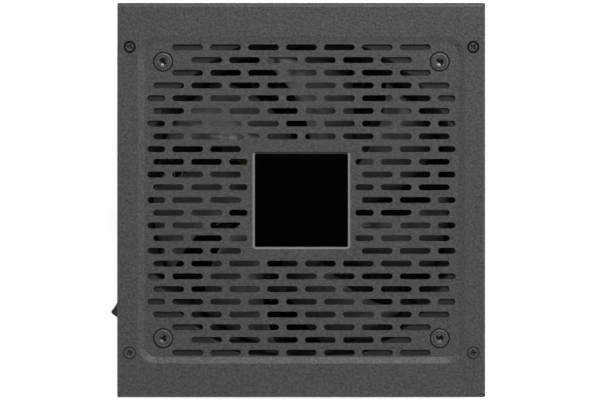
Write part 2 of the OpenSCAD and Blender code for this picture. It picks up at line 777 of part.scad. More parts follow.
module switch_housing() color([0.06, 0.06, 0.06])
    translate([0, inlet_mid, rocker_mid]) difference() {
        union() {
            along_x_at(rear_x - bezel_t, rear_x) rounded(bezel_w, bezel_h, bezel_corner_r);
            along_x_at(rear_x - eps, switch_back) square([switch_body_w, switch_body_h], center = true);
        }
        along_x_at(rear_x - bezel_t - eps, switch_back - switch_floor)
            square([cavity_w, cavity_h], center = true);
        translate([rocker_x, 0, 0])
            cylinder(switch_body_h + 1, r = rocker_pin_r + rocker_pin_fit, center = true);
    }

// The rocker across its pivot: round ends and a hollow face.
// It rests with its -Y end standing out and its +Y end pressed in.
module rocker_outline()
    difference() {
        intersection() {
            circle(rocker_r);
            translate([-rocker_r, -rocker_depth]) square(2 * rocker_r);
        }
        translate([0, rocker_face + rocker_hollow]) circle(rocker_hollow, $fn = 120);
    }

module switch_rocker() color([0.08, 0.08, 0.08])
    translate([rocker_x, inlet_mid, rocker_mid]) rotate([0, 0, 90 - rocker_tilt]) union() {
        linear_extrude(rocker_w, center = true) rocker_outline();
        cylinder(rocker_w + 2 * rocker_pin_l, r = rocker_pin_r, center = true);
    }

module switch_terminals() color([0.75, 0.75, 0.72])
    for (s = [-1, 1])
        translate([0, inlet_mid + s * terminal_step, rocker_mid])
            along_x_at(switch_back, switch_back + terminal_l) square(terminal_size, center = true);

// Boards

standoff_r = 3;
standoff_floor = 1;
board_screw_r = 1.3;
board_screw_l = 4;
board_head_r = 2.7;
board_cross_h = 1;
pan_head_h = 1.8;
cross_size = 2.8;
film_inset = 4;
film_over = 1;
film_gap = 0.6;

module main_board() color([0.1, 0.3, 0.16])
    translate([0, 0, board_z]) linear_extrude(board_t) difference() {
        translate([board_x0, -board_y]) square([board_x1 - board_x0, 2 * board_y]);
        for (p = board_holes) translate(p) circle(board_hole_r);
    }

module board_standoffs() color([0.78, 0.62, 0.25])
    for (p = board_holes)
        translate([p[0], p[1], sheet_t]) difference() {
            cylinder(standoff_h, r = standoff_r, $fn = 6);
            translate([0, 0, standoff_floor]) cylinder(standoff_h, r = board_screw_r + seat_fit);
        }

module board_screws() color([0.7, 0.7, 0.7])
    for (p = board_holes)
        translate([p[0], p[1], deck + (p == board_holes[0] ? earth_lug_t : 0)]) difference() {
            union() {
                cylinder(pan_head_h, r = board_head_r);
                translate([0, 0, -board_t - board_screw_l])
                    cylinder(board_t + board_screw_l + eps, r = board_screw_r);
            }
            translate([0, 0, pan_head_h]) cross_recess(cross_size, board_cross_h);
        }

module insulating_sheet() color([0.85, 0.85, 0.8])
    translate([0, 0, film_z]) linear_extrude(film_t) difference() {
        translate([rear_x + film_inset, -board_y - film_over])
            square([case_d - 2 * film_inset, 2 * (board_y + film_over)]);
        for (p = board_holes) translate(p) circle(standoff_r + film_gap);
    }

module filter_board() color([0.12, 0.32, 0.18])
    translate([filter_x, inlet_mid - filter_side / 2, deck])
        cube([board_t, filter_side, filter_high - deck]);

socket_board_y = max(board_y - 1.5, lower_w / 2 + 0.5);
module socket_board() color([0.1, 0.28, 0.16])
    translate([socket_board_x, -socket_board_y, socket_board_low])
        cube([board_t, 2 * socket_board_y, socket_board_high - socket_board_low]);

// Stands a component on the main board
module on_board(p) translate([p[0], p[1], deck]) scale(fit) children();

control_w = 42;
control_h = 28;
control_chip = [1.6, 8, 10];
control_chips_at = [[-14, 5], [5, 10]];
control_resistor = [0.9, 3.2, 1.8];
control_row_at = [-17, 23];
control_row_step = 6.4;

module control_board() color([0.1, 0.3, 0.16])
    on_board(control_at) {
        translate([0, -control_w / 2, 0]) cube([board_t, control_w, control_h]);
        for (p = control_chips_at) translate([board_t - eps, p[0], p[1]]) cube(control_chip);
        for (i = [0 : 5])
            translate([board_t - eps, control_row_at[0] + control_row_step * i, control_row_at[1]])
                cube(control_resistor);
    }

converter_w = 46;
converter_h = 29;
converter_chip = [6, 1.4, 5];
converter_row_at = [-19, 15];
converter_row_step = 11;

module converter_board() color([0.1, 0.3, 0.16])
    on_board(converter_at) {
        translate([-converter_w / 2, 0, 0]) cube([converter_w, board_t, converter_h]);
        for (i = [0 : 3])
            translate([converter_row_at[0] + converter_row_step * i, eps - converter_chip[1], converter_row_at[1]])
                cube(converter_chip);
    }

// Passive components

// A can capacitor standing at z = 0, with a crimp groove and a rolled shoulder
module can(d, h) {
    r = d / 2;
    groove = 0.04 * d;
    rotate_extrude() difference() {
        union() {
            square([r, h - groove]);
            square([r - groove, h]);
            translate([r - groove, h - groove]) circle(groove);
        }
        translate([r + groove * 0.4, 0.13 * d + groove]) circle(groove);
        translate([-d, 0]) square([d, h]);
        translate([0, h - 0.3]) square([r - 2.4 * groove, 1]);
    }
}

module bulk_capacitors() color([0.09, 0.09, 0.1])
    for (i = [0, 1])
        on_board(bulk_at + [0, i * bulk_step]) can(bulk_d, bulk_h);

module output_capacitors() color([0.16, 0.1, 0.22])
    for (i = [0, 1], k = [0 : 4])
        on_board(output_at + output_step * [i * fit_x, k * fit_y]) can(output_cap_d, output_cap_h);

line_cap = [18, 8, 15];
inlet_cap = [14, 18, 8];
cap_edge = 1;

// A moulded box with a softened top
module box_capacitor(size) {
    side = size[2] - cap_edge;
    translate([-size[0] / 2, -size[1] / 2, 0]) cube([size[0], size[1], side]);
    translate([0, 0, side - eps]) linear_extrude(cap_edge + eps)
        rounded(size[0] - cap_edge, size[1] - cap_edge, cap_edge);
}

// Stands a component on the inner face of the filter board, behind the inlet
module on_filter_board(y)
    translate([filter_x + board_t, inlet_mid, inlet_z]) scale(fit) translate([0, y, 0]) rotate([0, 90, 0])
        children();

module x_capacitors() color([0.85, 0.68, 0.15]) {
    on_board(line_cap_at) box_capacitor(line_cap);
    on_filter_board(0) box_capacitor(inlet_cap);
}

module disc(d, t, lead) {
    translate([0, 0, lead + d / 2]) rotate([90, 0, 0]) rotate_extrude()
        intersection() {
            translate([0, -t / 2]) square([d / 2, t]);
            union() {
                translate([0, -t / 2]) square([d / 2 - t / 2, t]);
                translate([d / 2 - t / 2, 0]) circle(t / 2);
            }
        }
    for (s = [-1, 1])
        translate([s * d / 4, 0, 0]) cylinder(lead + d / 4, r = disc_lead_r, $fn = 16);
}

disc_lead_r = 0.4;
small_disc_d = 7;
small_disc_t = 3;
small_disc_lead = 1.5;
small_disc_y = 14.5;
module y_capacitors() color([0.1, 0.3, 0.62])
    for (s = [-1, 1])
        on_filter_board(s * small_disc_y) disc(small_disc_d, small_disc_t, small_disc_lead);

surge_disc_d = 13;
surge_disc_t = 4;
surge_disc_lead = 3;
module surge_discs() color([0.12, 0.3, 0.2])
    for (i = [0, 1])
        on_board(disc_at + [0, i * disc_step]) disc(surge_disc_d, surge_disc_t, surge_disc_lead);

relay_size = [19, 15.5, 14.5];
relay_step = 0.75;
relay_lid = 0.8;
module bypass_relay() color([0.05, 0.05, 0.06])
    on_board(relay_at) {
        linear_extrude(relay_size[2]) rounded(relay_size[0], relay_size[1], relay_lid);
        translate([0, 0, relay_size[2] - eps]) linear_extrude(relay_lid)
            rounded(relay_size[0] - 2 * relay_step, relay_size[1] - 2 * relay_step, relay_lid);
    }

// Chokes and transformers

wire_lift = 0.7;
boost_core_w = 6.8;
boost_core_h = 13;
boost_mid_r = (boost_core_d - boost_core_w) / 2;
boost_wire_r = 0.65;
boost_reach = boost_core_w / 2 + boost_wire_r + wire_lift;
boost_rise = boost_core_h / 2 + boost_wire_r + wire_lift;
boost_z = boost_mid_r + boost_reach + boost_wire_r;
boost_turns = 22;
boost_first = 24;
boost_span = 312;
line_core_d = 22;
line_core_w = 6;
line_core_h = 10;
line_mid_r = (line_core_d - line_core_w) / 2;
line_wire_r = 0.45;
line_reach = line_core_w / 2 + line_wire_r + wire_lift;
line_rise = line_core_h / 2 + line_wire_r + wire_lift;
line_z = line_rise + line_wire_r;
line_turns = 7;
line_first = [18, 198];
line_span = 144;

core_edge_r = 1.4;

module ring_core(mid_r, w, h)
    rotate_extrude() translate([mid_r, 0]) rounded(w, h, core_edge_r);

module boost_place()
    on_board(boost_at) translate([0, 0, boost_z]) rotate([90, 0, 0]) rotate(90) children();

module boost_choke_core() color([0.2, 0.22, 0.24])
    boost_place() ring_core(boost_mid_r, boost_core_w, boost_core_h);

module boost_choke_winding() color([0.7, 0.38, 0.16])
    boost_place()
        winding(boost_turns, boost_first, boost_span, boost_mid_r, boost_reach, boost_rise, boost_wire_r);

module line_choke_places()
    for (p = [line_choke_1, line_choke_2])
        on_board(p) translate([0, 0, line_z]) children();

module line_choke_cores() color([0.14, 0.36, 0.24])
    line_choke_places() ring_core(line_mid_r, line_core_w, line_core_h);

module line_choke_windings() color([0.7, 0.38, 0.16])
    line_choke_places()
        for (first = line_first)
            winding(line_turns, first, line_span, line_mid_r, line_reach, line_rise, line_wire_r);

// Least gap of a winding to itself: from points on each turn to the next, less the wire
gap_steps = 48;
function winding_gap(turns, first, span, mid_r, reach, rise, r) =
    min([
        for (i = [0 : gap_steps - 1], k = [0 : gap_steps - 1])
            norm(winding_point(i / gap_steps / turns, turns, first, span, mid_r, reach, rise)
                - winding_point((1 + (i + (k - gap_steps / 2) / 4) / gap_steps) / turns,
                    turns, first, span, mid_r, reach, rise))
    ]) - 2 * r;
echo(boost_winding_gap = winding_gap(boost_turns, boost_first, boost_span,
    boost_mid_r, boost_reach, boost_rise, boost_wire_r));
echo(line_winding_gap = winding_gap(line_turns, line_first[0], line_span,
    line_mid_r, line_reach, line_rise, line_wire_r));

// Two E-shaped ferrite halves round a wound middle leg, lying along X with the window along Y
module ferrite(l, w, h, post_r, plate, leg) {
    difference() {
        translate([-l / 2, -w / 2, 0]) cube([l, w, h]);
        translate([leg - l / 2, -w / 2 - eps, plate]) cube([l - 2 * leg, w + 2 * eps, h - 2 * plate]);
    }
    translate([0, 0, plate - eps]) cylinder(h - 2 * plate + 2 * eps, r = post_r);
}

// The wound bobbin between them, with a flange at each end
bobbin_fit = 0.3;
bobbin_flange_t = 1.2;
bobbin_flange_w = 0.9;
bobbin_bore_fit = 0.2;
module ferrite_winding(l, h, post_r, plate, leg) {
    bobbin_h = h - 2 * (plate + bobbin_fit);
    flange_r = l / 2 - leg - bobbin_fit;
    translate([0, 0, plate + bobbin_fit]) difference() {
        union() {
            cylinder(bobbin_h, r = flange_r - bobbin_flange_w);
            for (z = [0, bobbin_h - bobbin_flange_t])
                translate([0, 0, z]) cylinder(bobbin_flange_t, r = flange_r);
        }
        translate([0, 0, -eps]) cylinder(h, r = post_r + bobbin_bore_fit);
    }
}

transformer_l = 38;
transformer_w = 27;
transformer_post_r = 7;
transformer_plate = 5;
transformer_leg = 4;

module transformer_core() color([0.2, 0.2, 0.21])
    on_board(transformer_at)
        ferrite(transformer_l, transformer_w, transformer_h, transformer_post_r, transformer_plate, transformer_leg);

module transformer_winding() color([0.82, 0.66, 0.2])
    on_board(transformer_at)
        ferrite_winding(transformer_l, transformer_h, transformer_post_r, transformer_plate, transformer_leg);

standby_l = 20;
standby_w = 12;
standby_h = 17;
standby_post_r = 2.6;
standby_plate = 2.6;
standby_leg = 2.4;

module standby_core() color([0.2, 0.2, 0.21])
    on_board(standby_at) ferrite(standby_l, standby_w, standby_h, standby_post_r, standby_plate, standby_leg);

module standby_winding() color([0.82, 0.66, 0.2])
    on_board(standby_at) ferrite_winding(standby_l, standby_h, standby_post_r, standby_plate, standby_leg);

choke_size = [11, 10, 11];
choke_step = 15;
choke_out = 5.3;
choke_lid = 0.6;
choke_lid_in = 0.7;
choke_edge_r = 1;
module converter_chokes() color([0.45, 0.45, 0.47])
    for (i = [0 : 2])
        on_board(converter_at) translate([choke_step * (i - 1), board_t + choke_out, 0]) {
            linear_extrude(choke_size[2]) rounded(choke_size[0], choke_size[1], choke_edge_r);
            translate([0, 0, choke_size[2] - eps]) linear_extrude(choke_lid)
                rounded(choke_size[0] - 2 * choke_lid_in, choke_size[1] - 2 * choke_lid_in, choke_edge_r);
        }

// Heatsinks and what is screwed to them

primary_l = 33;
primary_fins = 8;
primary_fin_l = 4;
secondary_l = 50;
secondary_fins = 11;
secondary_fin_l = 4.5;
sink_t = 3;
fin_t = 1.6;
sink_hole_r = 1.45;
sink_hole_l = sink_t + 0.5;

// A finned extrusion standing on the board: a plate with fins on one side
module heatsink(l, fins, fin_l) {
    step = (l - fin_t) / (fins - 1);
    linear_extrude(heatsink_h) {
        translate([-l / 2, 0]) square([l, sink_t]);
        for (i = [0 : fins - 1])
            translate([-l / 2 + i * step, sink_t - eps]) square([fin_t, fin_l]);
    }
}

package_w = 10;
package_tab = 1.3;
package_tab_h = 15.6;
package_body_t = 3.2;
package_body_h = 9.2;
package_rise = 8;
package_hole_z = package_rise + 12.8;
package_hole_r = 1.6;
package_leg = [0.8, 0.6];
package_leg_step = 2.54;
package_leg_back = 2.9;

// A power package: its back lies on y = 0 and its legs reach down to the board
module power_package() {
    difference() {
        translate([-package_w / 2, -package_tab, package_rise]) cube([package_w, package_tab, package_tab_h]);
        translate([0, eps, package_hole_z]) rotate([90, 0, 0]) cylinder(package_tab + 2 * eps, r = package_hole_r);
    }
    translate([-package_w / 2, -package_tab - package_body_t, package_rise])
        cube([package_w, package_body_t + eps, package_body_h]);
    for (i = [-1 : 1])
        translate([i * package_leg_step - package_leg[0] / 2, -package_leg_back, 0])
            cube([package_leg[0], package_leg[1], package_rise + 1]);
}

function package_x(i, count, step) = (i - (count - 1) / 2) * step;
primary_packages = 3;
primary_step = 10.8;
secondary_packages = 4;
secondary_step = 12;

// The primary fins point to -Y, and the packages sit on the +Y face
module primary_heatsink() color([0.72, 0.73, 0.74])
    on_board(primary_at) difference() {
        mirror([0, 1, 0]) heatsink(primary_l, primary_fins, primary_fin_l);
        for (i = [0 : primary_packages - 1])
            translate([package_x(i, primary_packages, primary_step), eps, package_hole_z])
                rotate([90, 0, 0]) cylinder(sink_hole_l, r = sink_hole_r);
    }

module power_transistors() color([0.07, 0.07, 0.07])
    for (i = [0 : primary_packages - 1])
        on_board(primary_at) translate([package_x(i, primary_packages, primary_step), 0, 0])
            rotate(180) power_package();

// The secondary fins point to +Y, and the packages sit on the -Y face
module secondary_heatsink() color([0.72, 0.73, 0.74])
    on_board(secondary_at) difference() {
        heatsink(secondary_l, secondary_fins, secondary_fin_l);
        for (i = [0 : secondary_packages - 1])
            translate([package_x(i, secondary_packages, secondary_step), -eps, package_hole_z])
                rotate([-90, 0, 0]) cylinder(sink_hole_l, r = sink_hole_r);
    }

module rectifier_transistors() color([0.07, 0.07, 0.07])
    for (i = [0 : secondary_packages - 1])
        on_board(secondary_at) translate([package_x(i, secondary_packages, secondary_step), 0, 0])
            power_package();

package_screw_r = 1.4;
package_screw_l = 3.6;
package_head_r = 2.6;
package_cross_h = 0.9;
module package_screw() {
    cylinder(package_screw_l, r = package_screw_r);
    translate([0, 0, -pan_head_h]) difference() {
        cylinder(pan_head_h, r = package_head_r);
        mirror([0, 0, 1]) cross_recess(cross_size, package_cross_h);
    }
}

module transistor_screws() color([0.75, 0.75, 0.75]) {
    for (i = [0 : primary_packages - 1])
        on_board(primary_at)
            translate([package_x(i, primary_packages, primary_step), package_tab, package_hole_z])
                rotate([90, 0, 0]) package_screw();
    for (i = [0 : secondary_packages - 1])
        on_board(secondary_at)
            translate([package_x(i, secondary_packages, secondary_step), -package_tab, package_hole_z])
                rotate([-90, 0, 0]) package_screw();
}

// The bridge stands on its four legs against the fins of the primary heatsink
bridge_size = [22, 3.6, 18];
bridge_rise = 6;
bridge_corner = 3;
bridge_leg = [1.1, 0.7, 7];
bridge_leg_at = [-8.4, 1.5];
bridge_leg_step = 5.1;
module bridge_rectifier() color([0.06, 0.06, 0.06])
    on_board(primary_at) translate([0, -sink_t - primary_fin_l - bridge_size[1], 0]) {
        translate([-bridge_size[0] / 2, 0, bridge_rise]) difference() {
            cube(bridge_size);
            translate([bridge_size[0], -eps, bridge_size[2]]) rotate([-90, 0, 0])
                cylinder(bridge_size[1] + 2 * eps, r = bridge_corner, $fn = 4);
        }
        for (i = [0 : 3])
            translate([bridge_leg_at[0] + bridge_leg_step * i, bridge_leg_at[1], 0]) cube(bridge_leg);
    }

bus_l = 19;
bus_h = 20;
bus_t = 1.5;
bus_foot = [8, 4];
module bus_bars() color([0.8, 0.45, 0.25])
    for (y = bus_y)
        on_board([socket_board_x, y]) {
            translate([-bus_l, 0, 0]) cube([bus_l, bus_t, bus_h]);
            translate([-bus_l, bus_t - bus_foot[1], 0]) cube([bus_foot[0], bus_foot[1], bus_t]);
        }

// Sockets on the front wall

// Every second cell has two cut corners, which stops a plug going in the wrong way
module cell(size, keyed) {
    h = size / 2;
    c = keyed ? 0.28 * size : 0;
    polygon(keyed
        ? [[-h, -h], [h, -h], [h, h - c], [h - c, h], [c - h, h], [-h, h - c]]
        : [[-h, -h], [h, -h], [h, h], [-h, h]]);
}

module plug_socket(contacts) {
    w = socket_w(contacts);
    x0 = socket_board_x + board_t;
    along_x_at(x0, x0 + socket_floor) difference() {
        square([w, socket_h], center = true);
        for (i = [0 : contacts - 1], row = [-1, 1])
            translate([(i - (contacts - 1) / 2) * contact_step, row * contact_step / 2])
                circle(contact_r + seat_fit, $fn = 16);
    }
    along_x_at(x0 + socket_floor - eps, x0 + socket_l) difference() {
        square([w, socket_h], center = true);
        for (i = [0 : contacts - 1], row = [-1, 1])
            translate([(i - (contacts - 1) / 2) * contact_step, row * contact_step / 2])
                mirror([0, row < 0 ? 1 : 0]) cell(contact_size, (i + row) % 2 != 0);
    }
    latch_ramp();
}

// The ramp on a socket's top that holds the plug's latch
module latch_ramp()
    translate([front_x + socket_out - latch_back, 0, socket_h / 2 - eps]) along_y(latch_w)
        polygon([[0, 0], [-latch_l, latch_h], [-latch_l, 0]]);

module socket_contacts(contacts)
    for (i = [0 : contacts - 1], row = [-1, 1])
        translate([0, (i - (contacts - 1) / 2) * contact_step, row * contact_step / 2])
            contact_pin(contact_r);

contact_in = 3.5;
contact_tip = 0.8;
module contact_pin(r)
    translate([socket_board_x + board_t, 0, 0]) rotate([0, 90, 0]) {
        cylinder(socket_l - contact_in, r = r, $fn = 16);
        translate([0, 0, socket_l - contact_in - eps]) cylinder(contact_tip, r, r * 0.5, $fn = 16);
    }

module wide_board_socket() color([0.06, 0.06, 0.06])
    translate([0, wide_y, upper_row_z]) plug_socket(wide_contacts);

module narrow_board_socket() color([0.06, 0.06, 0.06])
    translate([0, narrow_y, upper_row_z]) plug_socket(narrow_contacts);

module power_sockets() color([0.06, 0.06, 0.06])
    for (i = [0 : power_count - 1])
        translate([0, power_y(i), lower_row_z]) plug_socket(power_contacts);

module drive_sockets() color([0.06, 0.06, 0.06])
    for (i = [0 : drive_count - 1])
        translate([0, drive_y(i), upper_row_z]) plug_socket(drive_contacts);

function graphics_contact(i, row) =
    [(i - (graphics_contacts - 1) / 2) * graphics_step, row * graphics_step / 2 - graphics_drop];
graphics_drop = 1.1;
sense_z = 3.2;
sense_step = 1.5;
sense_r = 0.25;
sense_window = [4 * sense_step + 0.6, 1.8];

module graphics_socket() color([0.06, 0.06, 0.06])
    translate([0, graphics_y, lower_row_z]) {
        x0 = socket_board_x + board_t;
        along_x_at(x0, x0 + socket_floor) difference() {
            square([graphics_w, socket_h], center = true);
            for (i = [0 : graphics_contacts - 1], row = [-1, 1])
                translate(graphics_contact(i, row)) circle(contact_r + seat_fit, $fn = 16);
            for (i = [0 : 3])
                translate([(i - 1.5) * sense_step, sense_z]) circle(sense_r + seat_fit, $fn = 16);
        }
        along_x_at(x0 + socket_floor - eps, x0 + socket_l) difference() {
            square([graphics_w, socket_h], center = true);
            for (i = [0 : graphics_contacts - 1], row = [-1, 1])
                translate(graphics_contact(i, row)) cell(graphics_cell, false);
            translate([0, sense_z]) square(sense_window, center = true);
        }
        latch_ramp();
    }

module socket_pins() color([0.8, 0.68, 0.35]) {
    translate([0, wide_y, upper_row_z]) socket_contacts(wide_contacts);
    translate([0, narrow_y, upper_row_z]) socket_contacts(narrow_contacts);
    for (i = [0 : power_count - 1])
        translate([0, power_y(i), lower_row_z]) socket_contacts(power_contacts);
    for (i = [0 : drive_count - 1])
        translate([0, drive_y(i), upper_row_z]) socket_contacts(drive_contacts);
    translate([0, graphics_y, lower_row_z]) {
        for (i = [0 : graphics_contacts - 1], row = [-1, 1])
            let (p = graphics_contact(i, row))
            translate([0, p[0], p[1]]) contact_pin(contact_r);
        for (i = [0 : 3])
            translate([0, (i - 1.5) * sense_step, sense_z]) contact_pin(sense_r);
    }
}

// Fan, fixed pieces

fan_corner_r = 7;
duct_wall = 2.2;
fan_seat_r = 2.9;
fan_seat_h = 0.6;
strut_w = 4;
strut_h = 3;
strut_in = 1;
motor_tube_h = 16;
motor_floor = 1;
bearing_l = 14.5;

module fan_frame() color([0.05, 0.05, 0.05])
    translate([0, 0, fan_z]) {
        difference() {
            union() {
                for (z = [0, fan_t - fan_flange_t])
                    translate([0, 0, z]) linear_extrude(fan_flange_t)
                        rounded(fan_side, fan_side, fan_corner_r);
                intersection() {
                    cylinder(fan_t, r = duct + duct_wall, $fn = 96);
                    translate([-fan_side / 2, -fan_side / 2, 0]) cube([fan_side, fan_side, fan_t]);
                }
            }
            translate([0, 0, -eps]) cylinder(fan_t + 2 * eps, r = duct, $fn = 96);
            translate([0, 0, fan_t - fan_flange_t])
                cylinder(fan_flange_t + eps, duct, mouth, $fn = 96);
            for (sx = [-1, 1], sy = [-1, 1])
                translate([sx * fan_screw_at, sy * fan_screw_at, 0]) {
                    translate([0, 0, -eps]) cylinder(fan_t + 2 * eps, r = fan_hole_r);
                    translate([0, 0, fan_t - fan_seat_h]) cylinder(fan_seat_h + eps, r = fan_seat_r);
                }
        }
        for (turn = [45 : 90 : 315])
            rotate(turn) translate([motor_base_r - strut_in, -strut_w / 2, 0])
                cube([duct - motor_base_r + 1.6 * strut_in, strut_w, strut_h]);
        difference() {
            union() {
                cylinder(motor_base_t, r = motor_base_r);
                cylinder(motor_tube_h, r = tube_r);
            }
            translate([0, 0, motor_floor]) cylinder(motor_tube_h, r = tube_bore_r);
        }
    }

module fan_bearing() color([0.7, 0.55, 0.3])
    translate([0, 0, fan_z + motor_floor]) difference() {
        cylinder(bearing_l, r = tube_bore_r - seat_fit);
        translate([0, 0, -eps]) cylinder(bearing_l + 2 * eps, r = shaft_r + shaft_fit);
    }

stator_z = fan_z + 7;
stator_t = 6;
pole_w = 5;
pole_tip_t = 2.2;
pole_gap = 3.2;
stator_ring = 2.4;
coil_gap = 0.5;
coil_side = 2.1;
coil_end = 1.6;
coil_r = 1.4;
coil_fit = 0.1;
coil_l = stator_r - pole_tip_t - tube_r - stator_ring - 1.8;

// Four T-shaped poles on a laminated ring
module fan_stator() color([0.5, 0.5, 0.52])
    translate([0, 0, stator_z]) linear_extrude(stator_t) difference() {
        union() {
            circle(tube_r + stator_ring);
            for (turn = [0, 90]) rotate(turn) square([2 * stator_r - 3, pole_w], center = true);
            difference() {
                circle(stator_r);
                circle(stator_r - pole_tip_t);
                for (turn = [45 : 90 : 315])
                    rotate(turn) translate([0, -pole_gap / 2]) square([stator_r + 1, pole_gap]);
            }
        }
        circle(tube_r + seat_fit);
    }

module fan_coils() color([0.7, 0.38, 0.16])
    for (turn = [0 : 90 : 270])
        rotate(turn) translate([tube_r + stator_ring + coil_gap, 0, stator_z + stator_t / 2])
            rotate([90, 0, 90]) linear_extrude(coil_l) difference() {
                rounded(pole_w + 2 * coil_side, stator_t + 2 * coil_end, coil_r);
                square([pole_w + 2 * coil_fit, stator_t + 2 * coil_fit], center = true);
            }

fan_board_t = 1;
fan_board_in = 2.5;
module fan_circuit_board() color([0.1, 0.3, 0.16])
    translate([0, 0, fan_z + motor_base_t]) linear_extrude(fan_board_t) difference() {
        circle(hub_r - hub_wall - fan_board_in);
        circle(tube_r + seat_fit);
    }

// Fan, turning pieces

function blade_angle(r) = blade_phase + blade_sweep * (r - blade_phase_r) / (tip_r - hub_r);
function blade_radius(u) = hub_r - hub_wall * 0.6 + (tip_r - hub_r + hub_wall * 0.6) * u;
function blade_top_z(u, v) =
    blade_low + blade_h * (0.06 * u + (0.92 - 0.16 * u) * (v + 0.16 * sin(180 * v)) );
function blade_thick(v) = blade_t * (0.4 + 0.6 * sin(180 * v));
function blade_point(u, v, side) =
    let (
        r = blade_radius(u),
        at = blade_angle(r) + blade_span * (1 - 0.1 * u) * (v - 0.5)
    )
    [r * cos(at), r * sin(at), blade_top_z(u, v) + side * blade_thick(v) / 2];

// One blade: u runs from hub to tip and v from the trailing edge to the leading edge
module blade() {
    nu = 8;
    nv = 8;
    row = nv + 1;
    sheet = (nu + 1) * row;
    points = [for (side = [-1, 1], i = [0 : nu], k = [0 : nv]) blade_point(i / nu, k / nv, side)];
    low = [
        for (i = [0 : nu - 1], k = [0 : nv - 1], half = [0, 1])
            let (a = i * row + k, b = a + row)
            half == 0 ? [a, b, b + 1] : [a, b + 1, a + 1]
    ];
    high = [for (f = low) [f[0] + sheet, f[2] + sheet, f[1] + sheet]];
    rim = concat(
        [for (i = [0 : nu]) i * row],
        [for (k = [1 : nv]) nu * row + k],
        [for (i = [nu - 1 : -1 : 0]) i * row + nv],
        [for (k = [nv - 1 : -1 : 1]) k]
    );
    edge = [
        for (i = [0 : len(rim) - 1], half = [0, 1])
            let (a = rim[i], b = rim[(i + 1) % len(rim)])
            half == 0 ? [a, a + sheet, b + sheet] : [a, b + sheet, b]
    ];
    polyhedron(points = points, faces = concat(low, high, edge));
}

hub_edge = 1;
boss_l = 3.4;
boss_wall = 1.6;
shaft_press = 0.01;
module fan_impeller() color([0.09, 0.09, 0.09]) {
    difference() {
        union() {
            translate([0, 0, hub_low]) cylinder(hub_high - hub_low - hub_edge, r = hub_r);
            translate([0, 0, hub_high - hub_edge - eps]) cylinder(hub_edge + eps, hub_r, hub_r - hub_edge);
        }
        translate([0, 0, hub_low - eps])
            cylinder(hub_high - hub_low - hub_wall, r = hub_r - hub_wall);
    }
    translate([0, 0, hub_high - hub_wall - boss_l]) difference() {
        cylinder(boss_l + 0.1, r = shaft_r + boss_wall);
        translate([0, 0, -eps]) cylinder(boss_l, r = shaft_r + shaft_press);
    }
    for (i = [0 : blade_count - 1]) rotate(360 / blade_count * i) blade();
}

module fan_magnet_ring() color([0.3, 0.28, 0.27])
    translate([0, 0, stator_z - magnet_over]) difference() {
        cylinder(stator_t + 2 * magnet_over, r = magnet_r);
        translate([0, 0, -eps]) cylinder(stator_t + 2 * magnet_over + 2 * eps, r = magnet_r - magnet_t);
    }

shaft_low = fan_z + motor_floor + 0.2;
module fan_shaft() color([0.8, 0.8, 0.8])
    translate([0, 0, shaft_low]) cylinder(hub_high - hub_wall - shaft_low - seat_fit, r = shaft_r);

// Wires and the plug on the main board

module fan_cable() color([0.06, 0.06, 0.06]) wire(fan_cable_run, fan_cable_r);

header_size = [8, 6, 6];
plug_size = [6.8, 4.8];
module fan_header() color([0.9, 0.9, 0.87])
    on_board(header_at) {
        translate([-header_size[0] / 2, -header_size[1] / 2, 0]) cube(header_size);
        translate([-plug_size[0] / 2, -plug_size[1] / 2, header_size[2] - eps])
            cube([plug_size[0], plug_size[1], header_h - header_size[2] + eps]);
    }

module mains_wires() color([0.3, 0.18, 0.1]) {
    wire(switch_to_board, wire_r);
    wire(switch_to_filter, wire_r);
}

module earth_wire() color([0.35, 0.6, 0.15]) {
    wire(earth_run, earth_r);
    translate([board_holes[0][0], board_holes[0][1], deck]) difference() {
        union() {
            cylinder(earth_lug_t, r = earth_lug_r);
            translate([-earth_tongue[0] / 2, 0, 0]) cube([earth_tongue[0], earth_tongue[1], earth_lug_t]);
        }
        translate([0, 0, -eps]) cylinder(earth_lug_t + 2 * eps, r = board_hole_r);
    }
}

base_tray();
top_cover();
cover_screws();
fan_screws();
badge_plate();
inlet_body();
inlet_pins();
inlet_screws();
switch_housing();
switch_rocker();
switch_terminals();
filter_board();
x_capacitors();
y_capacitors();
main_board();
board_standoffs();
board_screws();
insulating_sheet();
bulk_capacitors();
boost_choke_core();
boost_choke_winding();
line_choke_cores();
line_choke_windings();
bridge_rectifier();
primary_heatsink();
power_transistors();
secondary_heatsink();
rectifier_transistors();
transistor_screws();
transformer_core();
transformer_winding();
standby_core();
standby_winding();
control_board();
converter_board();
converter_chokes();
output_capacitors();
bypass_relay();
surge_discs();
bus_bars();
socket_board();
wide_board_socket();
narrow_board_socket();
power_sockets();
drive_sockets();
graphics_socket();
socket_pins();
fan_frame();
fan_stator();
fan_coils();
fan_bearing();
fan_circuit_board();
fan_cable();
fan_header();
mains_wires();
earth_wire();
fan_impeller();
fan_magnet_ring();
fan_shaft();
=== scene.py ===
import json
import math

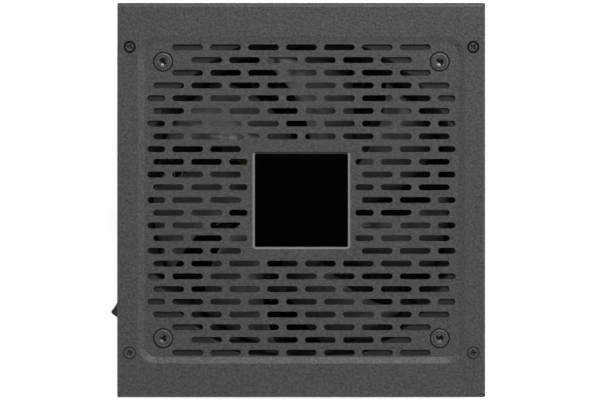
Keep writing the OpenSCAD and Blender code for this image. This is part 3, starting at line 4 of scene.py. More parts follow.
import bmesh
import bpy
import numpy as np
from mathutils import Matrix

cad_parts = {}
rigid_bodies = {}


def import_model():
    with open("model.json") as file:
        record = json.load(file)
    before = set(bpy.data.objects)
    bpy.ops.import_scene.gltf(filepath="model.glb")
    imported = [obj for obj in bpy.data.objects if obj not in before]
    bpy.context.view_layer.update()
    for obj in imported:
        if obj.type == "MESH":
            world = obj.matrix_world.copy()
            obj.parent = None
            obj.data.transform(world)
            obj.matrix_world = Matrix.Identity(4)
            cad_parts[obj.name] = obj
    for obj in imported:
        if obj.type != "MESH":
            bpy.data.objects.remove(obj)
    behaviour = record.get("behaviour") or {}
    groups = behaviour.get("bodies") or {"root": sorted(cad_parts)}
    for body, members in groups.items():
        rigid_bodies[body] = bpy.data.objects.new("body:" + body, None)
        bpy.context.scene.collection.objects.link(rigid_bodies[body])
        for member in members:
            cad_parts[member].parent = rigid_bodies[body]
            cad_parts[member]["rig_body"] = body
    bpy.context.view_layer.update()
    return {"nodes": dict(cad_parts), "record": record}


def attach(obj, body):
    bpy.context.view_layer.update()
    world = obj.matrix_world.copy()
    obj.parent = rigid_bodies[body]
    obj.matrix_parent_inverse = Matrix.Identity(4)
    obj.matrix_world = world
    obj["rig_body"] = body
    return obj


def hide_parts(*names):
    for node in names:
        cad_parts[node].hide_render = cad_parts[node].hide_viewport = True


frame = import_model()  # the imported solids, in metres
nodes = frame["nodes"]
slotOf = {part["node"]: part["material_slot"] for part in frame["record"]["subparts"]}
scene = bpy.context.scene
mm = 0.001  # every size in this file is in millimetres
fullTurn = 2 * math.pi
quarterTurn = math.pi / 2
tiny = 1e-6  # keeps a divisor away from zero
print("frame loaded,", len(nodes), "nodes")


# Camera, straight above the fan face

photoView = {
    "width": 600,  # pixels
    "pixelsPerMm": 2.637,  # on the fan face
    "overX": -0.54,
    "overY": 0,
    "faceZ": 86,
    "height": 900,  # above the fan face
    "sensor": 36,
}


def setCamera(view):
    shown = view["width"] / view["pixelsPerMm"]
    data = bpy.data.cameras.new("photoCamera")
    data.sensor_width = view["sensor"]
    data.lens = view["sensor"] * view["height"] / shown
    camera = bpy.data.objects.new("photoCamera", data)
    camera.location = np.array([view["overX"], view["overY"], view["faceZ"] + view["height"]]) * mm
    scene.collection.objects.link(camera)
    scene.camera = camera


setCamera(photoView)
scene.view_settings.view_transform = "Standard"
print("camera set")


# Small helpers for shader nodes: plain values go on a socket, other nodes are linked to it

def setSocket(tree, socket, value):
    if isinstance(value, bpy.types.NodeSocket):
        tree.links.new(value, socket)
    else:
        socket.default_value = value


def feed(tree, node, inputs):
    for key, value in inputs.items():
        setSocket(tree, node.inputs[key], value)


def addNode(tree, kind, inputs=None, **settings):
    node = tree.nodes.new("ShaderNode" + kind)
    for key, value in settings.items():
        setattr(node, key, value)
    feed(tree, node, inputs or {})
    return node


def startFinish(name, sockets):
    finish = bpy.data.materials.new(name)
    finish.use_nodes = True
    shader = finish.node_tree.nodes["Principled BSDF"]
    feed(finish.node_tree, shader, sockets)
    return finish, finish.node_tree, shader


def objectPoint(tree, stretch=(1, 1, 1), turn=(0, 0, 0)):
    coords = addNode(tree, "TexCoord")
    placed = {"Vector": coords.outputs["Object"], "Scale": stretch, "Rotation": turn}
    return addNode(tree, "Mapping", placed).outputs["Vector"]


def noiseOf(tree, point, perMm, detail=3.0, rough=0.55):
    inputs = {"Vector": point, "Scale": perMm / mm, "Detail": detail, "Roughness": rough}
    return addNode(tree, "TexNoise", inputs).outputs["Fac"]


def rampOf(tree, fac, stops):
    # a new ramp has two stops, which is what every finish needs
    node = addNode(tree, "ValToRGB", {"Fac": fac})
    for element, (position, colour) in zip(node.color_ramp.elements, stops):
        element.position = position
        element.color = (*colour, 1)
    return node.outputs["Color"]


def spreadOf(tree, fac, low, high, start=0.3, end=0.7):
    inputs = {"Value": fac, "From Min": start, "From Max": end, "To Min": low, "To Max": high}
    return addNode(tree, "MapRange", inputs).outputs["Result"]


def bumpOf(tree, height, depth, strength=1.0, under=None):
    inputs = {"Height": height, "Distance": depth * mm, "Strength": strength}
    if under is not None:
        inputs["Normal"] = under
    return addNode(tree, "Bump", inputs).outputs["Normal"]


def mathOf(tree, operation, first, second=0.0):
    node = addNode(tree, "Math", operation=operation)
    for socket, value in zip(node.inputs, (first, second)):
        setSocket(tree, socket, value)
    return node.outputs["Value"]


def mixOf(tree, first, second, share=0.6):
    parts = [mathOf(tree, "MULTIPLY", first, share), mathOf(tree, "MULTIPLY", second, 1 - share)]
    return mathOf(tree, "ADD", *parts)


def toneOf(tree, fac, look, start=0.3, end=0.7):
    return rampOf(tree, fac, [(start, look["dark"]), (end, look["light"])])


# Stage: a pale floor that is white to the camera and keeps the shadow, and a soft studio

studio = {
    "floorSize": 8000,
    "floor": {"dark": (0.86, 0.86, 0.86), "light": (0.8858, 0.8858, 0.8858), "perMm": 0.004},
    "floorLift": 0.76,  # light that only the camera and mirrors see
    "floorDrop": 0.05,  # keeps the floor clear of the underside
    "skyHigh": 0.01,  # straight above, where the camera stands
    "skyLow": 0.5,  # near the horizon
    "skyShade": 0.9,  # how much darker the low sky is behind the key light
    "skyBand": (0.3, 0.6),  # heights on a ball of radius 1 between which the low sky fades
    "shadeBand": (0.6, 0.85),  # how far towards the key light the shade sets in
    "boxes": [  # where each soft box stands, its side and its power in watts
        {"at": (375, 1200, 1500), "side": 900, "power": 23.5},
        {"at": (900, 150, 900), "side": 500, "power": 2.8},
        {"at": (-900, 150, 900), "side": 500, "power": 1.4},
        {"at": (0, -850, 950), "side": 500, "power": 2.1},
    ],
    "aim": (0, 0, 60),
}


def seenDirectly(tree):
    path = addNode(tree, "LightPath")
    either = mathOf(tree, "MAXIMUM", path.outputs["Is Camera Ray"], path.outputs["Is Glossy Ray"])
    return mathOf(tree, "MAXIMUM", either, path.outputs["Is Transmission Ray"])


def makeFloor():
    matt = {"Roughness": 0.9, "Specular IOR Level": 0.1, "Emission Color": (1, 1, 1, 1)}
    finish, tree, shader = startFinish("paleFloor", matt)
    grain = noiseOf(tree, objectPoint(tree), studio["floor"]["perMm"])
    fromBelow = addNode(tree, "NewGeometry").outputs["Backfacing"]
    feed(tree, shader, {
        "Base Color": toneOf(tree, grain, studio["floor"]),
        "Emission Strength": mathOf(tree, "MULTIPLY", seenDirectly(tree), studio["floorLift"]),
        "Alpha": mathOf(tree, "SUBTRACT", 1.0, fromBelow),  # clear from below, so the underside shows
    })
    half = studio["floorSize"] / 2 * mm
    low = -studio["floorDrop"] * mm
    mesh = bpy.data.meshes.new("paleFloor")
    corners = [(-half, -half, low), (half, -half, low), (half, half, low), (-half, half, low)]
    mesh.from_pydata(corners, [], [(0, 1, 2, 3)])
    mesh.materials.append(finish)
    floor = bpy.data.objects.new("paleFloor", mesh)
    scene.collection.objects.link(floor)


def makeSky():
    world = bpy.data.worlds.new("studioSky")
    world.use_nodes = True
    scene.world = world
    tree = world.node_tree
    direction = addNode(tree, "TexCoord").outputs["Generated"]
    parts = addNode(tree, "SeparateXYZ", {"Vector": direction}).outputs
    level = spreadOf(tree, parts["Z"], studio["skyLow"], studio["skyHigh"], *studio["skyBand"])
    shade = spreadOf(tree, parts["Y"], 1, 1 - studio["skyShade"], *studio["shadeBand"])
    level = mathOf(tree, "MULTIPLY", level, shade)
    isCamera = addNode(tree, "LightPath").outputs["Is Camera Ray"]
    level = mathOf(tree, "MAXIMUM", level, isCamera)
    feed(tree, tree.nodes["Background"], {"Color": (1, 1, 1, 1), "Strength": level})


def makeSoftBoxes():
    aim = np.array(studio["aim"], float)
    for number, box in enumerate(studio["boxes"]):
        data = bpy.data.lights.new(f"softBox{number}", "AREA")
        data.size = box["side"] * mm
        data.energy = box["power"]
        light = bpy.data.objects.new(f"softBox{number}", data)
        away = np.array(box["at"], float) - aim
        light.location = np.array(box["at"]) * mm
        flat = math.hypot(away[0], away[1])
        light.rotation_euler = (math.atan2(flat, away[2]), 0, math.atan2(away[0], -away[1]))
        light.visible_camera = False
        scene.collection.objects.link(light)


makeFloor()
makeSky()
makeSoftBoxes()
print("stage and lights set")


# Finishes. Each look gives two tones of its colour, the size of its grain and how deep the grain is

looks = {
    "black_screw": {"dark": (0.058, 0.058, 0.0595), "light": (0.108, 0.108, 0.11), "perMm": 1.4,
                    "rough": (0.36, 0.5), "depth": 0.02, "sockets": {"Metallic": 0.1}},
    "plain_screw": {"dark": (0.085, 0.085, 0.084), "light": (0.15, 0.149, 0.145), "perMm": 1.2,
                    "rough": (0.34, 0.48), "depth": 0.02, "sockets": {"Metallic": 0.35}},
    # near black and glossy, painting the shade in the drivers' recesses
    "shaded_socket": {"dark": (0.01, 0.01, 0.0105), "light": (0.026, 0.026, 0.027), "perMm": 2.2,
                    "rough": (0.16, 0.26), "depth": 0.008, "sockets": {"Specular IOR Level": 0.8}},
    # near black, for the rings that paint the shade in the gaps round screw heads
    "gap_shade_black": {"dark": (0.002, 0.002, 0.002), "light": (0.005, 0.005, 0.005), "perMm": 2.5,
               "rough": (0.7, 0.85), "depth": 0.01, "sockets": {"Specular IOR Level": 0.2}},
    "moulding": {"dark": (0.012, 0.012, 0.0125), "light": (0.021, 0.021, 0.022), "perMm": 3.0,
                 "rough": (0.42, 0.58), "depth": 0.02, "sockets": {}},
    "rocker": {"dark": (0.078, 0.078, 0.079), "light": (0.102, 0.102, 0.104), "perMm": 2.2,
               "rough": (0.3, 0.42), "depth": 0.008, "sockets": {}},
    "impeller": {"dark": (0.095, 0.095, 0.097), "light": (0.125, 0.125, 0.128), "perMm": 0.5,
                 "rough": (0.26, 0.36), "depth": 0.012, "sockets": {}},
    "tinned": {"dark": (0.5, 0.49, 0.46), "light": (0.7, 0.69, 0.66), "perMm": 1.5,
               "rough": (0.25, 0.4), "depth": 0.01, "sockets": {"Metallic": 1.0}, "stretch": (0.15, 1, 1)},
    "contacts": {"dark": (0.62, 0.47, 0.2), "light": (0.82, 0.68, 0.36), "perMm": 1.5,
                 "rough": (0.2, 0.35), "depth": 0.008, "sockets": {"Metallic": 1.0}, "stretch": (0.1, 1, 1)},
    "brass": {"dark": (0.5, 0.34, 0.11), "light": (0.68, 0.5, 0.22), "perMm": 1.8,
              "rough": (0.25, 0.4), "depth": 0.012, "sockets": {"Metallic": 1.0}, "stretch": (0.1, 0.1, 1)},
    "film": {"dark": (0.62, 0.62, 0.57), "light": (0.74, 0.74, 0.7), "perMm": 0.15,
             "rough": (0.3, 0.5), "depth": 0.02, "sockets": {"Subsurface Weight": 0.1}},
    # dark grey, darkened below the capacitors' own colour as painted shade inside the case
    "film_capacitor": {"dark": (0.05, 0.052, 0.056), "light": (0.08, 0.083, 0.088), "perMm": 0.9,
                       "rough": (0.35, 0.5), "depth": 0.02, "sockets": {}},
    "disc_blue": {"dark": (0.02, 0.09, 0.32), "light": (0.04, 0.15, 0.46), "perMm": 0.6,
                  "rough": (0.2, 0.35), "depth": 0.06, "sockets": {"Coat Weight": 0.3}},
    "disc_green": {"dark": (0.02, 0.09, 0.045), "light": (0.04, 0.14, 0.07), "perMm": 0.6,
                   "rough": (0.25, 0.4), "depth": 0.06, "sockets": {"Coat Weight": 0.2}},
    "can_metal": {"dark": (0.4, 0.4, 0.42), "light": (0.56, 0.56, 0.58), "perMm": 1.4,
                  "rough": (0.22, 0.36), "depth": 0.01, "sockets": {"Metallic": 1.0},
                  "stretch": (1, 1, 0.06)},
    "ferrite": {"dark": (0.035, 0.035, 0.038), "light": (0.08, 0.08, 0.085), "perMm": 2.4,
                "rough": (0.6, 0.8), "depth": 0.04, "sockets": {}},
    "package": {"dark": (0.013, 0.013, 0.0135), "light": (0.024, 0.024, 0.025), "perMm": 3.5,
                "rough": (0.5, 0.65), "depth": 0.02, "sockets": {}},
    "heatsink": {"dark": (0.46, 0.47, 0.48), "light": (0.6, 0.61, 0.62), "perMm": 3.0,
                 "rough": (0.3, 0.48), "depth": 0.02, "sockets": {"Metallic": 1.0}, "stretch": (1, 1, 0.02)},
    "copper": {"dark": (0.52, 0.19, 0.08), "light": (0.68, 0.3, 0.16), "perMm": 1.6,
               "rough": (0.25, 0.42), "depth": 0.012, "sockets": {"Metallic": 1.0}, "stretch": (0.05, 1, 1)},
    "shaft_steel": {"dark": (0.5, 0.5, 0.5), "light": (0.66, 0.66, 0.66), "perMm": 4.0,
                    "rough": (0.15, 0.28), "depth": 0.006, "sockets": {"Metallic": 1.0},
                    "stretch": (0.05, 0.05, 1)},
    "wire_black": {"dark": (0.012, 0.012, 0.012), "light": (0.024, 0.024, 0.025), "perMm": 1.0,
                   "rough": (0.4, 0.55), "depth": 0.02, "sockets": {}},
    "wire_brown": {"dark": (0.09, 0.035, 0.014), "light": (0.15, 0.06, 0.025), "perMm": 1.0,
                   "rough": (0.35, 0.5), "depth": 0.02, "sockets": {}},
    "plug_white": {"dark": (0.68, 0.67, 0.62), "light": (0.78, 0.77, 0.73), "perMm": 0.8,
                   "rough": (0.35, 0.5), "depth": 0.015, "sockets": {"Subsurface Weight": 0.05}},
    # darkened below the enamel's own colour as painted shade inside the case
    "enamelled_wire": {"dark": (0.2, 0.07, 0.025), "light": (0.3, 0.12, 0.05), "perMm": 0.7,
                       "rough": (0.18, 0.3), "depth": 0.02,
                       "sockets": {"Metallic": 0.85, "Coat Weight": 0.5, "Coat Roughness": 0.15}},
}

grainTones = (0.32, 0.68)  # how far up the noise the dark tone ends and the light one starts
cloudPerGrain = 0.08


def grainedFinish(name, look):
    # two tones mixed by a noise, which also gives the gloss and the bump
    finish, tree, shader = startFinish(name, look["sockets"])
    grain = noiseOf(tree, objectPoint(tree, look.get("stretch", (1, 1, 1))), look["perMm"])
    cloud = noiseOf(tree, objectPoint(tree), look["perMm"] * cloudPerGrain, detail=2)
    mixed = mixOf(tree, grain, cloud)
    feed(tree, shader, {
        "Base Color": toneOf(tree, mixed, look, *grainTones),
        "Roughness": spreadOf(tree, mixed, *look["rough"]),
        "Normal": bumpOf(tree, grain, look["depth"]),
    })
    return finish


coat = {"dark": (0.04, 0.04, 0.0415), "light": (0.111, 0.111, 0.113), "tones": (0.28, 0.72), "grain": 1.2,
        "waves": 0.4, "rough": (0.38, 0.5), "grainDepth": 0.16, "waveDepth": 0.08}


def powderCoat():
    # a fine grain on slow waves, as baked powder lies on sheet steel
    finish, tree, shader = startFinish("powder_coat", {"Specular IOR Level": 0.45})
    point = objectPoint(tree)
    grain = noiseOf(tree, point, coat["grain"], detail=2.5, rough=0.6)
    waves = noiseOf(tree, point, coat["waves"], detail=2)
    slow = bumpOf(tree, waves, coat["waveDepth"], strength=0.6)
    feed(tree, shader, {
        "Base Color": toneOf(tree, grain, coat, *coat["tones"]),
        "Roughness": spreadOf(tree, waves, *coat["rough"]),
        "Normal": bumpOf(tree, grain, coat["grainDepth"], under=slow),
    })
    return finish


gloss = {"dark": (0.0004, 0.0004, 0.0004), "light": (0.0009, 0.0009, 0.001), "streaks": 0.4,
         "rough": (0.04, 0.07)}


def glossBadge():
    # polished black lacquer with faint wiping marks
    finish, tree, shader = startFinish("badge", {"Specular IOR Level": 0.5})
    point = objectPoint(tree, stretch=(1, 0.2, 1), turn=(0, 0, 0.5))
    marks = noiseOf(tree, point, gloss["streaks"])
    feed(tree, shader, {"Base Color": toneOf(tree, marks, gloss),
                        "Roughness": spreadOf(tree, marks, *gloss["rough"])})
    return finish


rimLook = {"dark": (0.38, 0.38, 0.39), "light": (0.52, 0.52, 0.53), "lines": 3.0, "rough": (0.14, 0.22)}


def brightRim():
    # cut metal round the badge, with fine turning lines
    finish, tree, shader = startFinish("badge_rim", {"Metallic": 1.0})
    lines = noiseOf(tree, objectPoint(tree, stretch=(1, 1, 4)), rimLook["lines"])
    feed(tree, shader, {"Base Color": toneOf(tree, lines, rimLook),
                        "Roughness": spreadOf(tree, lines, *rimLook["rough"])})
    return finish


# the mask and tracks are near black, darker than the board's own green, as painted shade inside the case
board = {"shadedMask": (0.006, 0.0065, 0.0065), "track": (0.012, 0.013, 0.013), "pad": (0.5, 0.48, 0.44),
         "trackPerMm": 0.22, "padPerMm": 0.28, "trackWidth": (0.128, 0.16), "padSize": (0.18, 0.2),
         "rough": (0.32, 0.24), "depth": 0.04}  # a width fades between its two values


def circuitBoard():
    # tracks are the straight borders between square cells, and pads are dots
    finish, tree, shader = startFinish("circuit_board", {"Coat Weight": 0.2, "Coat Roughness": 0.2})
    point = objectPoint(tree)
    cellInputs = {"Vector": point, "Scale": board["trackPerMm"] / mm}
    near = addNode(tree, "TexVoronoi", cellInputs, distance="CHEBYCHEV", feature="F1").outputs["Distance"]
    far = addNode(tree, "TexVoronoi", cellInputs, distance="CHEBYCHEV", feature="F2").outputs["Distance"]
    track = spreadOf(tree, mathOf(tree, "SUBTRACT", far, near), 1, 0, *board["trackWidth"])
    dotInputs = {"Vector": point, "Scale": board["padPerMm"] / mm}
    dots = addNode(tree, "TexVoronoi", dotInputs).outputs["Distance"]
    pad = spreadOf(tree, dots, 1, 0, *board["padSize"])
    # near-black mask and tracks: painted shade inside the case
    tone = rampOf(tree, track, [(0, board["shadedMask"]), (1, board["track"])])
    mixed = addNode(tree, "MixRGB", {"Fac": pad, "Color1": tone, "Color2": (*board["pad"], 1)})
    height = mathOf(tree, "MAXIMUM", track, pad)
    feed(tree, shader, {
        "Base Color": mixed.outputs["Color"],
        "Metallic": pad,
        "Roughness": spreadOf(tree, pad, *board["rough"], 0, 1),
        "Normal": bumpOf(tree, height, board["depth"]),
    })
    return finish


sleeve = {"dark": (0.008, 0.008, 0.01), "light": (0.02, 0.02, 0.024), "can": (0.34, 0.35, 0.37),
          "ripple": 0.12, "rough": (0.2, 0.32), "depth": 0.05, "endZ": (53.15, 53.3)}


def canSleeve():
    # a dark shrunk sleeve, with the bare can showing at the top
    finish, tree, shader = startFinish("can_sleeve", {"Coat Weight": 0.3, "Coat Roughness": 0.1})
    coords = addNode(tree, "TexCoord").outputs["Object"]
    ripple = noiseOf(tree, objectPoint(tree, stretch=(1, 1, 0.3)), sleeve["ripple"])
    height = addNode(tree, "SeparateXYZ", {"Vector": coords}).outputs["Z"]
    bare = spreadOf(tree, height, 0, 1, *(z * mm for z in sleeve["endZ"]))
    tone = toneOf(tree, ripple, sleeve)
    mixed = addNode(tree, "MixRGB", {"Fac": bare, "Color1": tone, "Color2": (*sleeve["can"], 1)})
    feed(tree, shader, {
        "Base Color": mixed.outputs["Color"],
        "Metallic": bare,
        "Roughness": spreadOf(tree, ripple, *sleeve["rough"]),
        "Normal": bumpOf(tree, ripple, sleeve["depth"]),
    })
    return finish


bandClouds = 0.2  # per millimetre
bandedLooks = {
    "winding_tape": {"dark": (0.46, 0.28, 0.02), "light": (0.66, 0.45, 0.06), "bandsPerMm": 0.02,
                     "wander": 0.4, "rough": (0.25, 0.4), "depth": 0.05, "sockets": {"Coat Weight": 0.3}},
    "laminations": {"dark": (0.16, 0.16, 0.17), "light": (0.36, 0.36, 0.37), "bandsPerMm": 0.32,
                    "wander": 0.0, "rough": (0.3, 0.45), "depth": 0.04, "sockets": {"Metallic": 1.0}},
}


def bandedFinish(name, look):
    # straight bands across the height, as layers of tape or stacked sheets lie
    finish, tree, shader = startFinish(name, look["sockets"])
    wave = {"Vector": objectPoint(tree), "Scale": look["bandsPerMm"] / mm, "Distortion": look["wander"],
            "Detail": 1.0, "Detail Scale": 0.02}
    bands = addNode(tree, "TexWave", wave, wave_type="BANDS", bands_direction="Z").outputs["Fac"]
    cloud = noiseOf(tree, objectPoint(tree), bandClouds)
    feed(tree, shader, {
        "Base Color": toneOf(tree, mixOf(tree, bands, cloud), look, start=0.2),
        "Roughness": spreadOf(tree, cloud, *look["rough"]),
        "Normal": bumpOf(tree, bands, look["depth"]),
    })
    return finish


earthLook = {"dark": (0.03, 0.2, 0.02), "light": (0.62, 0.48, 0.02), "stripesPerMm": 0.045,
             "tones": (0.62, 0.68),  # how far up the wave the green ends and the yellow starts
             "cloudsPerMm": 1.0, "rough": (0.35, 0.5)}


def earthSheath():
    # green insulation with a yellow stripe winding round it
    finish, tree, shader = startFinish("wire_earth", {})
    wave = {"Vector": objectPoint(tree, turn=(0.5, 0.3, 0.6)), "Scale": earthLook["stripesPerMm"] / mm}
    stripe = addNode(tree, "TexWave", wave, wave_type="BANDS").outputs["Fac"]
    cloud = noiseOf(tree, objectPoint(tree), earthLook["cloudsPerMm"])
    feed(tree, shader, {"Base Color": toneOf(tree, stripe, earthLook, *earthLook["tones"]),
                        "Roughness": spreadOf(tree, cloud, *earthLook["rough"])})
    return finish


markLook = {"dark": (0.6, 0.6, 0.59), "light": (0.75, 0.75, 0.74), "perMm": 3.0, "rough": (0.4, 0.6),
            "depth": 0.01, "sockets": {}}

finishes = {name: grainedFinish(name, look) for name, look in looks.items()}
finishes.update({name: bandedFinish(name, look) for name, look in bandedLooks.items()})
finishes["powder_coat"] = powderCoat()
finishes["badge"] = glossBadge()
finishes["badge_rim"] = brightRim()
finishes["circuit_board"] = circuitBoard()
finishes["can_sleeve"] = canSleeve()
finishes["wire_earth"] = earthSheath()
finishes["printed_mark"] = grainedFinish("printed_mark", markLook)
print("finishes made,", len(finishes))


# Surfaces: a grid of points, rows by columns, whose columns close on themselves

mergeGap = 0.002  # points nearer than this are one point


def gridQuads(rows, cols):
    row, col = np.meshgrid(np.arange(rows - 1), np.arange(cols), indexing="ij")
    nextCol = (col + 1) % cols
    corners = [row * cols + col, row * cols + nextCol, (row + 1) * cols + nextCol, (row + 1) * cols + col]
    return np.stack(corners, axis=-1).reshape(-1, 4)


def makePiece(name, grids, node, finish=None, sharp=38):
    counts = [g.shape[0] * g.shape[1] for g in grids]
    starts = np.cumsum([0] + counts[:-1])
    points = np.concatenate([g.reshape(-1, 3) for g in grids]) * mm
    quads = np.concatenate([gridQuads(*g.shape[:2]) + start for g, start in zip(grids, starts)])
    mesh = bpy.data.meshes.new(name)
    mesh.from_pydata(points.tolist(), [], quads.tolist())
    addPiece(name, mesh, node, finish, sharp)


def addPiece(name, mesh, node, finish, sharp):
    work = bmesh.new()
    work.from_mesh(mesh)
    bmesh.ops.remove_doubles(work, verts=work.verts, dist=mergeGap * mm)
    bmesh.ops.recalc_face_normals(work, faces=work.faces)
    work.to_mesh(mesh)
    work.free()
    mesh.shade_smooth()
    mesh.set_sharp_from_angle(angle=math.radians(sharp))
    piece = bpy.data.objects.new(name, mesh)
    scene.collection.objects.link(piece)
    mesh.materials.append(finish or finishes[slotOf[node]])
    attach(piece, nodes[node]["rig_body"])
    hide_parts(node)
    return piece


def turnsOf(sides):
    return np.linspace(0, fullTurn, sides, endpoint=False)


def ringRows(rings, turn):
    # each ring has a height and a radius, which is one number or one for each turn
    rows = [(r * np.cos(turn), r * np.sin(turn), z + 0 * turn) for r, z in rings]
    return np.moveaxis(np.array(rows), 1, -1)


def revolve(profile, sides=72):
    # each profile point, a radius and a height, goes once round the upright axis
    return ringRows(profile, turnsOf(sides))


def closedEnds(rows):
    # one more row at each end, drawn together to the middle of the end
    first, last = (row.mean(axis=0) + 0 * row for row in (rows[0], rows[-1]))
    return np.stack([first, *rows, last])


def unitRows(rows):
    return rows / np.linalg.norm(rows, axis=-1, keepdims=True)


def tubeAlong(path, side, radius, sides):
    # a circle square to the path at every point; both ends close to a point
    along = unitRows(np.gradient(path, axis=0))
    first = unitRows(side - np.sum(side * along, axis=1, keepdims=True) * along)
    second = np.cross(along, first)
    turn = turnsOf(sides)[None, :, None]
    ring = first[:, None] * np.cos(turn) + second[:, None] * np.sin(turn)
    return closedEnds(path[:, None] + radius * ring)


def smoothPath(points, steps=14):
    # a cubic between each pair of points, leaning on their neighbours
    p = np.asarray(points, float)
    p = np.vstack([p[:1], p, p[-1:]])
    a, b, c, d = p[:-3, None], p[1:-2, None], p[2:-1, None], p[3:, None]
    s = np.linspace(0, 1, steps, endpoint=False)[None, :, None]
    curve = 2 * b + (c - a) * s + (2 * a - 5 * b + 4 * c - d) * s**2 + (3 * b - a - 3 * c + d) * s**3
    return np.vstack([curve.reshape(-1, 3) / 2, p[-1]])


def roundedLoop(width, depth, radius, steps=10):
    # four quarter arcs joined by straight sides
    turn = np.linspace(0, quarterTurn, steps) + np.arange(4)[:, None] * quarterTurn
    corner = np.array([[1, 1], [-1, 1], [-1, -1], [1, -1]])
    centre = corner[:, None] * np.array([width / 2 - radius, depth / 2 - radius])
    arcs = centre + radius * np.stack([np.cos(turn), np.sin(turn)], axis=-1)
    return arcs.reshape(-1, 2)


def atHeight(loop, z):
    return np.column_stack([loop, np.full(len(loop), z)])


# Pressed and moulded pieces: the solid itself, with its loose triangles merged and its edges rounded

roundEdges = {  # radius of the edge and steps across it
    "top_cover": {"name": "coverSheet", "radius": 0.36, "steps": 3},
    "base_tray": {"name": "traySheet", "radius": 0.2, "steps": 2},
    "inlet_body": {"name": "inletMoulding", "radius": 0.35, "steps": 3},
    "inlet_pins": {"name": "inletPins", "radius": 0.35, "steps": 3},
    "switch_housing": {"name": "switchBezel", "radius": 0.3, "steps": 3},
    "wide_board_socket": {"name": "wideBoardSocket", "radius": 0.14, "steps": 2},
    "narrow_board_socket": {"name": "narrowBoardSocket", "radius": 0.14, "steps": 2},
    "power_sockets": {"name": "powerSockets", "radius": 0.14, "steps": 2},
    "drive_sockets": {"name": "driveSockets", "radius": 0.14, "steps": 2},
    "graphics_socket": {"name": "graphicsSocket", "radius": 0.12, "steps": 2},
    "fan_frame": {"name": "fanFrame", "radius": 0.4, "steps": 2},
    "x_capacitors": {"name": "filmCapacitors", "radius": 0.4, "steps": 2},
    "bypass_relay": {"name": "relayCase", "radius": 0.3, "steps": 2},
}
flatAngle = 0.4  # faces that meet within this many degrees are one face
edgeAngle = 13  # edges sharper than this are rounded


def roundedCopy(node, look):
    source = nodes[node].data
    points = np.empty(len(source.vertices) * 3)
    source.vertices.foreach_get("co", points)
    corners = np.empty(len(source.loops), np.int64)
    source.loops.foreach_get("vertex_index", corners)
    points = points.reshape(-1, 3)
    keys = np.round(points / (mergeGap * mm)).astype(np.int64)
    kept, where = np.unique(keys, axis=0, return_index=True, return_inverse=True)[1:]
    triangles = where.reshape(-1)[corners].reshape(-1, 3)
    mesh = bpy.data.meshes.new(look["name"])
    mesh.from_pydata(points[kept].tolist(), [], triangles.tolist())
    work = bmesh.new()
    work.from_mesh(mesh)
    bmesh.ops.dissolve_limit(work, angle_limit=math.radians(flatAngle), verts=work.verts, edges=work.edges)
    work.to_mesh(mesh)
    work.free()
    piece = addPiece(look["name"], mesh, node, None, edgeAngle)
    bevel = piece.modifiers.new("roundEdges", "BEVEL")
    bevel.width = look["radius"] * mm
    bevel.segments = look["steps"]
    bevel.limit_method = "ANGLE"
    bevel.angle_limit = math.radians(edgeAngle)
    flat = piece.modifiers.new("flatFaces", "WEIGHTED_NORMAL")
    flat.weight = 100  # large faces stay flat, and the shading turns on the small ones
    flat.keep_sharp = True


for nodeName, nodeLook in roundEdges.items():
    roundedCopy(nodeName, nodeLook)
print("rounded pieces made,", len(roundEdges))


# Badge: a bright bevelled rim round a gloss black field, left bare

badge = {
    "width": 37, "depth": 36.95, "overY": -0.17, "corner": 1.4, "leastCorner": 0.25,
    # inset and height at each corner of a section: the rim's, and the field's inside it
    "rim": [(0.83, 85.2), (0, 85.2), (0, 85.23), (0.015, 85.242), (0.77, 85.785), (0.788, 85.8), (0.8, 85.8),
            (0.83, 85.72), (0.83, 85.2)],
    "field": [(0.83, 85.23), (0.83, 85.67), (0.842, 85.72), (4, 85.72)],
}


def badgeLoop(inset, z):
    radius = max(badge["corner"] - inset, badge["leastCorner"])
    loop = roundedLoop(badge["width"] - 2 * inset, badge["depth"] - 2 * inset, radius)
    return atHeight(loop + [0, badge["overY"]], z)


def makeBadge():
    # each section goes round the rounded square
    rim = np.stack([badgeLoop(*corner) for corner in badge["rim"]])
    makePiece("badgeRim", [rim], "badge_plate", finishes["badge_rim"])
    field = closedEnds([badgeLoop(*corner) for corner in badge["field"]])
    makePiece("badgeField", [field], "badge_plate")


makeBadge()
print("badge made")


# Screws: the driver's outline, the head and the shank are rings of the same turns

screwTurns = turnsOf(120)
driverHole = {"floor": 0.86, "rim": 0.97,  # how wide the recess is there, as a share of the outline
              "rimDrop": 1.6, "edgeDrop": 0.6}  # how far below the face, as a share of the softened edge
chamferRound = [(0, 0), (0.15, 0.1), (0.9, 0.7), (1, 1)]  # shares of the chamfer, out and down


def crossOutline(arm, half):
    # the longer of two crossed bars in each direction
    c = np.maximum(np.abs(np.cos(screwTurns)), tiny)
    s = np.maximum(np.abs(np.sin(screwTurns)), tiny)
    return np.maximum(np.minimum(arm / c, half / s), np.minimum(arm / s, half / c))


def hexOutline(corner):
    # six flats: the flat's distance over the cosine of the angle from its middle
    sixth = fullTurn / 6
    return corner * math.cos(sixth / 2) / np.cos(screwTurns % sixth - sixth / 2)


def holeRings(look, outline):
    # from the point under the recess's floor to just below its rim
    return [(0, -look["recess"] - look["point"]), (outline * driverHole["floor"], -look["recess"]),
            (outline * driverHole["rim"], -look["soft"] * driverHole["rimDrop"])]


def screwGrid(look, outline):
    # from the recess out over the head and its groove, down the chamfer and on to the shank's end
    soft, cut, shank = look["soft"], look["chamfer"], look["shankRadius"]
    face = outline + soft
    flat = look["headRadius"] - cut
    groove = look.get("groove", [])
    stop = groove[0][0] if groove else flat
    rings = holeRings(look, outline) + [(outline, -soft * driverHole["edgeDrop"]), (face, 0)]
    rings += [(face + (stop - face) * share, 0) for share in look["faceRings"]]
    rings += groove + [(flat + cut * out, -cut * down) for out, down in chamferRound]
    rings += [(shank, -look["headHeight"]), (shank, -look["length"]), (0, -look["length"])]
    return ringRows(rings, screwTurns)


